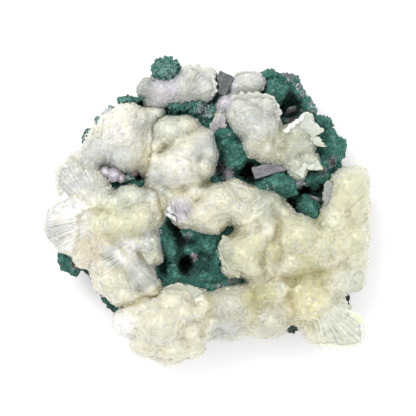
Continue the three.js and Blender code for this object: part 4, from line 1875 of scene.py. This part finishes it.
@dataclass
class Crust:
    """The green crust with its lumps, fingers and hollows."""

    node: str = "celadonite_crust"
    voxel: float = 0.79
    sand: float = 0.22  # roughness of its grains, in mm
    lumps: Tuple[Dome, ...] = (
        Dome(-20.5, -18, 41, 3.6, 9.5, 24, 20),
        Dome(-17, -33, 40, 4.2, 6.5, 0, 20),
        Dome(-22, -12, 38, 3.5, 4, 0, 20),
        Dome(-9, -11, 40, 6.5, 5, -25, 18),
        Dome(-4, -14, 37, 5, 4.5, 0, 20),
        Dome(-9, -21, 36, 5, 2.6, 5, 22),
        Dome(1, -17, 42, 5.5, 6.5, 0, 20),
        Dome(5, -13, 40, 5, 3.5, 20, 20),
        Dome(5, -26, 40, 3.5, 6, 0, 20),
        Dome(3, -35, 40, 6.5, 4, 20, 20),
        Dome(-9, -37, 34, 6, 3, 0, 20),
        Dome(-3, -36, 36, 4, 3.5, 0, 20),
        Dome(9, 38, 43, 6.5, 6, 0, 20),
        Dome(2, 42, 40, 4, 3.5, 0, 20),
        Dome(14, 26, 44, 6, 7, -15, 22),
        Dome(10, 33, 41, 5, 4, 0, 22),
        Dome(20.5, 31, 45, 3, 5, 0, 24),
        Dome(4.5, 29, 35, 4, 5, 0, 18),
        Dome(36, 13, 45, 8.5, 5, 0, 22),
        Dome(29, 12, 43, 5, 4.5, 0, 22),
        Dome(41, 9, 41, 5, 4, 0, 22),
        Dome(54, 15, 41, 7.5, 3.6, 12, 20),
        Dome(51, 0, 40, 5.5, 7.5, 35, 18),
        Dome(53, -8, 38, 4.5, 4.5, 0, 18),
        Dome(61, 33, 44, 4.5, 7, 0, 22),
        Dome(63, 27, 42, 5, 4, 0, 22),
        Dome(66, 30, 40, 3, 5, 0, 22),
        Dome(58, 22, 40, 5.5, 5, 0, 22),
        Dome(57, 43, 41, 5, 2.5, -20, 22),
        Dome(33, 59, 44, 5, 6.5, 10, 22),
        Dome(40, 64.5, 40, 5.5, 3, -20, 22),
        Dome(45, 59, 41, 2.8, 6, 30, 22),
        Dome(50, 52, 40, 2.6, 6, 35, 22),
        Dome(38, 44, 39, 3, 3, 0, 20),
        Dome(30, 66, 41, 4.5, 2.5, 0, 22),
        Dome(-40, 15, 40, 4, 2.6, 0, 22),
        Dome(-71, -26, 36, 4.5, 5, 20, 20),
        Dome(-67, -30, 33, 4, 3.5, 0, 18),
        Dome(41.5, -58, 37, 3.2, 4.4, 0, 22),
    )
    basins: Tuple[Pit, ...] = (
        Pit(-6, -22, 20, 17, -15, 27),
        Pit(48, 3, 12, 10, 0, 26),
        Pit(9, 25, 9, 16, 20, 28),
        Pit(21, 18, 7, 8, 0, 24),
        Pit(41, 51, 7, 9, -35, 24),
        Pit(-43, 15, 10, 4, 0, 30),
        Pit(53, 20, 8, 5, 0, 33),
    )
    pits: Tuple[Pit, ...] = (
        Pit(-17, -8, 4.5, 6, 30, 20),
        Pit(-14, -16, 3.6, 6, 12, 20),
        Pit(-12, -29, 4.5, 6.5, 0, 14),
        Pit(-1, -28, 5, 5.5, 20, 28),
        Pit(-23, -28, 2.5, 7, 12, 22),
        Pit(5, 20, 3, 6, 25, 22),
        Pit(20, 19, 4, 5.5, -30, 15),
        Pit(24, 15, 4, 3, 0, 20),
        Pit(48.5, 8.5, 5, 2.6, 0, 16),
        Pit(41, 2, 3.6, 5, 0, 20),
        Pit(39.5, 50, 4, 6.5, -35, 15),
        Pit(45, 53, 2.6, 5, 30, 20),
        Pit(57, 9, 3, 4, 0, 20),
        Pit(-50.5, 13, 3, 2.5, -30, 18),
        Pit(2.2, -17.5, 1.0, 1.0, 0, 27),
        Pit(-34.5, 15.5, 2.5, 2.5, 0, 18),
    )

    def build(self) -> bpy.types.Object:
        """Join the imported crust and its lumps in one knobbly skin, and press its holes in.

        Returns:
            The mesh object.
        """
        bed = copy_of(self.node, "celadonite_bed")
        remesh(bed, self.voxel)
        press(bed, self.basins)
        crust = join([bed] + [lump.add() for lump in self.lumps], "celadonite_bed")
        remesh(crust, self.voxel)
        modify(crust, "SMOOTH", factor=0.5, iterations=2)
        press(crust, self.pits)
        remesh(crust, self.voxel)
        relief(crust, "CLOUDS", 6.5, 3.4)
        relief(crust, "CLOUDS", 2.6, 2.6)
        relief(crust, "VORONOI", 2.2, -2.0)
        relief(crust, "CLOUDS", 1.6, 1.6)
        points, normals = vertices_of(crust)
        sand = np.random.default_rng(50).normal(0, self.sand * MM, len(points))
        move_vertices(crust, points + normals * sand[:, None])
        smooth(crust)
        return crust


@dataclass
class Nodules:
    """A green growth like a head of tiny coral."""

    name: str
    node: str
    lumps: Tuple[Dome, ...]
    count: int
    size: float  # radius of a ball, in mm
    seed: int
    reach: float  # how far a branch stands out, in mm
    links: Tuple[float, ...] = (0.3, 0.65, 1.0)  # where the balls of a branch sit along it

    def build(self) -> bpy.types.Object:
        """Cover the lumps with short branches, each a chain of balls, and fuse them.

        Returns:
            The mesh object.
        """
        core = join([lump.add() for lump in self.lumps], self.name)
        remesh(core, 0.9)
        points, normals = vertices_of(core)
        points = points - normals * (self.reach * MM)
        move_vertices(core, points)
        random = np.random.default_rng(self.seed)
        chosen = random.choice(len(points), self.count, replace=False)
        chosen = chosen[normals[chosen, 2] > -0.5]
        shape = SmallShape.ball()
        lean = unit(normals[chosen] + 0.6 * random.standard_normal((len(chosen), 3)))
        radius = self.size * MM * random.uniform(0.75, 1.2, len(chosen))
        height = self.reach * random.uniform(0.5, 1.25, len(chosen))
        rows = [points[chosen] + lean * (part * height * MM)[:, None] for part in self.links]
        feet = np.concatenate(rows)
        sizes = np.tile(radius[:, None], (len(self.links), 3))
        turned = np.tile(lean, (len(self.links), 1))
        knobs = shape.copies(f"{self.name}_knobs", feet, turned, turned[:, [1, 2, 0]], sizes)
        whole = join([core, knobs], self.name)
        remesh(whole, 0.38)
        smooth(whole)
        return whole


@dataclass
class Beads:
    """Rounded milky quartz crystals that sit side by side."""

    name: str
    node: str
    lumps: Tuple[Dome, ...]

    def build(self) -> bpy.types.Object:
        """Fuse the beads lightly and give each one a few dull faces.

        Returns:
            The mesh object.
        """
        beads = join([lump.add() for lump in self.lumps], self.name)
        remesh(beads, 0.35)
        relief(beads, "VORONOI", 2.0, 0.7)
        modify(beads, "SMOOTH", factor=0.5, iterations=2)
        smooth(beads)
        return beads


@dataclass
class Quartz:
    """Quartz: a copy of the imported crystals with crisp, slightly worn edges."""

    node: str
    name: str
    look: QuartzLook = QuartzLook.SMOKY
    edge: float = 0.25  # width of its bevelled edges, in mm
    slab: Optional[Dome] = None  # the size of a single tablet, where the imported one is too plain

    def start(self) -> bpy.types.Object:
        """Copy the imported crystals, or lay a tablet.

        Returns:
            The mesh object.
        """
        if self.slab is None:
            return copy_of(self.node, self.name)
        slab = self.slab
        deselect()
        bpy.ops.mesh.primitive_cube_add(
            size=2 * MM,
            location=slab.middle,
            rotation=(0, 0, math.radians(slab.turn)),
            scale=(slab.half_x, slab.half_y, (slab.top - slab.bottom) / 2),
        )
        return join([bpy.context.view_layer.objects.active], self.name)

    def build(self) -> bpy.types.Object:
        """Bevel the edges of the crystals and wear their faces a little.

        Returns:
            The mesh object.
        """
        crystal = self.start()
        modify(
            crystal,
            "BEVEL",
            width=self.edge * MM,
            segments=2,
            limit_method="ANGLE",
            angle_limit=math.radians(35),
        )
        remesh(crystal, 0.4)
        modify(crystal, "SMOOTH", factor=0.5, iterations=3)
        relief(crystal, "CLOUDS", 4, 0.9)
        smooth(crystal)
        return crystal


def copy_of(node: str, name: str) -> bpy.types.Object:
    """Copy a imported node, with its loose triangles merged.

    Args:
        node: the CAD node's name.
        name: the copy's name.

    Returns:
        The copy, which can be changed freely.
    """
    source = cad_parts[node]
    made = bpy.data.objects.new(name, source.data.copy())
    bpy.context.scene.collection.objects.link(made)
    made.data.materials.clear()
    pick([made])
    bpy.ops.object.mode_set(mode="EDIT")
    bpy.ops.mesh.select_all(action="SELECT")
    bpy.ops.mesh.remove_doubles(threshold=1e-6)
    bpy.ops.object.mode_set(mode="OBJECT")
    return made


# The studio


@dataclass(frozen=True)
class Softbox:
    """A square lamp that looks at the specimen."""

    name: str
    at: Tuple[float, float, float]
    size: float
    power: float

    def add(self, target: Vector) -> None:
        """Hang the lamp and turn it to its target."""
        lamp = bpy.data.lights.new(self.name, "AREA")
        lamp.shape = "SQUARE"
        lamp.size = self.size
        lamp.energy = self.power
        made = bpy.data.objects.new(self.name, lamp)
        made.location = self.at
        made.rotation_euler = (target - Vector(self.at)).to_track_quat("-Z", "Y").to_euler()
        bpy.context.scene.collection.objects.link(made)


@dataclass
class Studio:
    """A white table, soft light mostly from the photograph's top, and a camera straight above."""

    height: float = 1.5  # of the camera above the middle of the crystals, in metres
    glow: float = 0.15  # the table's own light, which makes it as white as the photograph's ground
    sky: float = 0.9  # strength of the even light from all around
    lamps: Tuple[Softbox, ...] = (
        Softbox("key_softbox", (-0.4, 0.5, 1.0), 0.6, 6.5),
        Softbox("fill_softbox", (0.5, -0.4, 0.9), 0.7, 2.2),
    )

    def build(self) -> None:
        """Set the table, the lamps, the surroundings and the camera."""
        middle = place(0, 0, BED)
        deselect()
        bpy.ops.mesh.primitive_plane_add(size=6, location=(0, 0, -0.0003))
        table = bpy.context.view_layer.objects.active
        table.name = "table"
        paper = bpy.data.materials.new("white_paper")
        paper.use_nodes = True
        surface = paper.node_tree.nodes["Principled BSDF"]
        surface.inputs["Base Color"].default_value = linear("#fbfbfb")
        surface.inputs["Roughness"].default_value = 0.9
        surface.inputs["Emission Color"].default_value = linear("#ffffff")
        surface.inputs["Emission Strength"].default_value = self.glow
        table.data.materials.append(paper)
        for lamp in self.lamps:
            lamp.add(middle)
        world = bpy.data.worlds.new("studio")
        world.use_nodes = True
        world.node_tree.nodes["Background"].inputs[0].default_value = linear("#ffffff")
        world.node_tree.nodes["Background"].inputs[1].default_value = self.sky
        bpy.context.scene.world = world
        bpy.context.scene.view_settings.view_transform = "Standard"
        camera = bpy.data.cameras.new("camera")
        camera.sensor_width = 36.0
        camera.lens = camera.sensor_width * self.height / (FRAME_WIDTH * MM)
        eye = bpy.data.objects.new("camera", camera)
        eye.location = middle + Vector((0, 0, self.height))
        bpy.context.scene.collection.objects.link(eye)
        bpy.context.scene.camera = eye


GROWTHS: Tuple[Nodules, ...] = (
    Nodules(
        "celadonite_knob_nodules",
        "celadonite_knob",
        (Dome(-21, 69, 49, 7.9, 7.1, 0, 20),),
        count=330,
        size=0.6,
        seed=41,
        reach=1.8,
    ),
    Nodules(
        "celadonite_ridge_nodules",
        "celadonite_ridge",
        (
            Dome(-16, 51, 44, 5.5, 4, 0, 24),
            Dome(-7, 51, 45, 7, 4.4, 0, 24),
            Dome(1.5, 48, 43, 5.5, 5.5, 0, 24),
        ),
        count=330,
        size=0.66,
        seed=42,
        reach=2.2,
    ),
    Nodules(
        "celadonite_rim_nodules",
        "celadonite_crust",
        (
            Dome(-49, 47, 44, 3.5, 4, 0, 22),
            Dome(-54, 43, 41, 3, 4, 0, 20),
            Dome(-60, 36, 39, 3, 4.5, -30, 20),
            Dome(-40, 53.5, 44, 6, 2.8, 0, 22),
            Dome(-32, 55, 42, 4, 2.5, 0, 22),
        ),
        count=420,
        size=0.6,
        seed=43,
        reach=1.4,
    ),
)
BEADS: Tuple[Beads, ...] = (
    Beads(
        "quartz_pocket_beads",
        "quartz_left_pocket",
        (
            Dome(-51, 18, 45, 2.6, 3.0, 20, 32),
            Dome(-46.6, 16.6, 47, 3.4, 3.9, -20, 32),
            Dome(-43.2, 14.8, 44, 2.2, 2.4, 0, 32),
            Dome(-49.5, 13.6, 42, 1.6, 1.4, 0, 32),
        ),
    ),
)
QUARTZ: Tuple[Quartz, ...] = (
    Quartz(
        "quartz_grey_plate",
        "quartz_grey_tablet",
        edge=0.4,
        slab=Dome(30.6, 19.4, 41.5, 8.4, 3.0, 15, 36),
    ),
    Quartz("quartz_top_plate", "quartz_top_tablet", QuartzLook.GREENISH),
    Quartz("cavity_blade", "quartz_cavity_blade"),
    Quartz("right_hollow_blades", "quartz_right_blades"),
)


def main() -> None:
    """Build the specimen piece by piece and report each one."""
    logging.basicConfig(level=logging.INFO, format="%(name)s: %(message)s")
    Studio().build()
    stilbite = StilbiteFinish().make()
    glint = StilbiteFinish("stilbite_blade_ends", roughness=0.14, weight=0.8, bleed=1.6, coat=0.9).make()
    thin = StilbiteFinish("stilbite_thin_blades", roughness=0.2, weight=0.8, bleed=1.6, coat=0.5).make()
    celadonite = CeladoniteFinish().make()
    basalt = BasaltFinish().make()
    quartz = {look: QuartzFinish(look).make() for look in QuartzLook}
    rock = Basalt()
    settle(rock.build(), rock.node, basalt)
    LOG.info("basalt done")
    crust = Crust()
    bed = crust.build()
    dust(bed, 0.004, 51)
    settle(bed, crust.node, celadonite)
    for growth in GROWTHS:
        coral = growth.build()
        dust(coral, 0.07, growth.seed)
        settle(coral, growth.node, celadonite)
    LOG.info("celadonite done")
    shapes = {end: SmallShape.blade(end) for end in BladeEnd}
    for cluster in CLUSTERS:
        others = [dome for other in CLUSTERS if other is not cluster for dome in other.domes]
        body = cluster.build_body(others)
        blades = cluster.grow_blades(body, shapes[BladeEnd.SHORT], others)
        cluster.dress(body, stilbite)
        cluster.dress(blades, glint)
    for spray in SPRAYS:
        spray.dress(spray.build(shapes), thin)
    for beads in BEADS:
        settle(beads.build(), beads.node, quartz[QuartzLook.MILKY])
    for crystal in QUARTZ:
        settle(crystal.build(), crystal.node, quartz[crystal.look])
    LOG.info("quartz done")


if __name__ == "__main__":
    main()
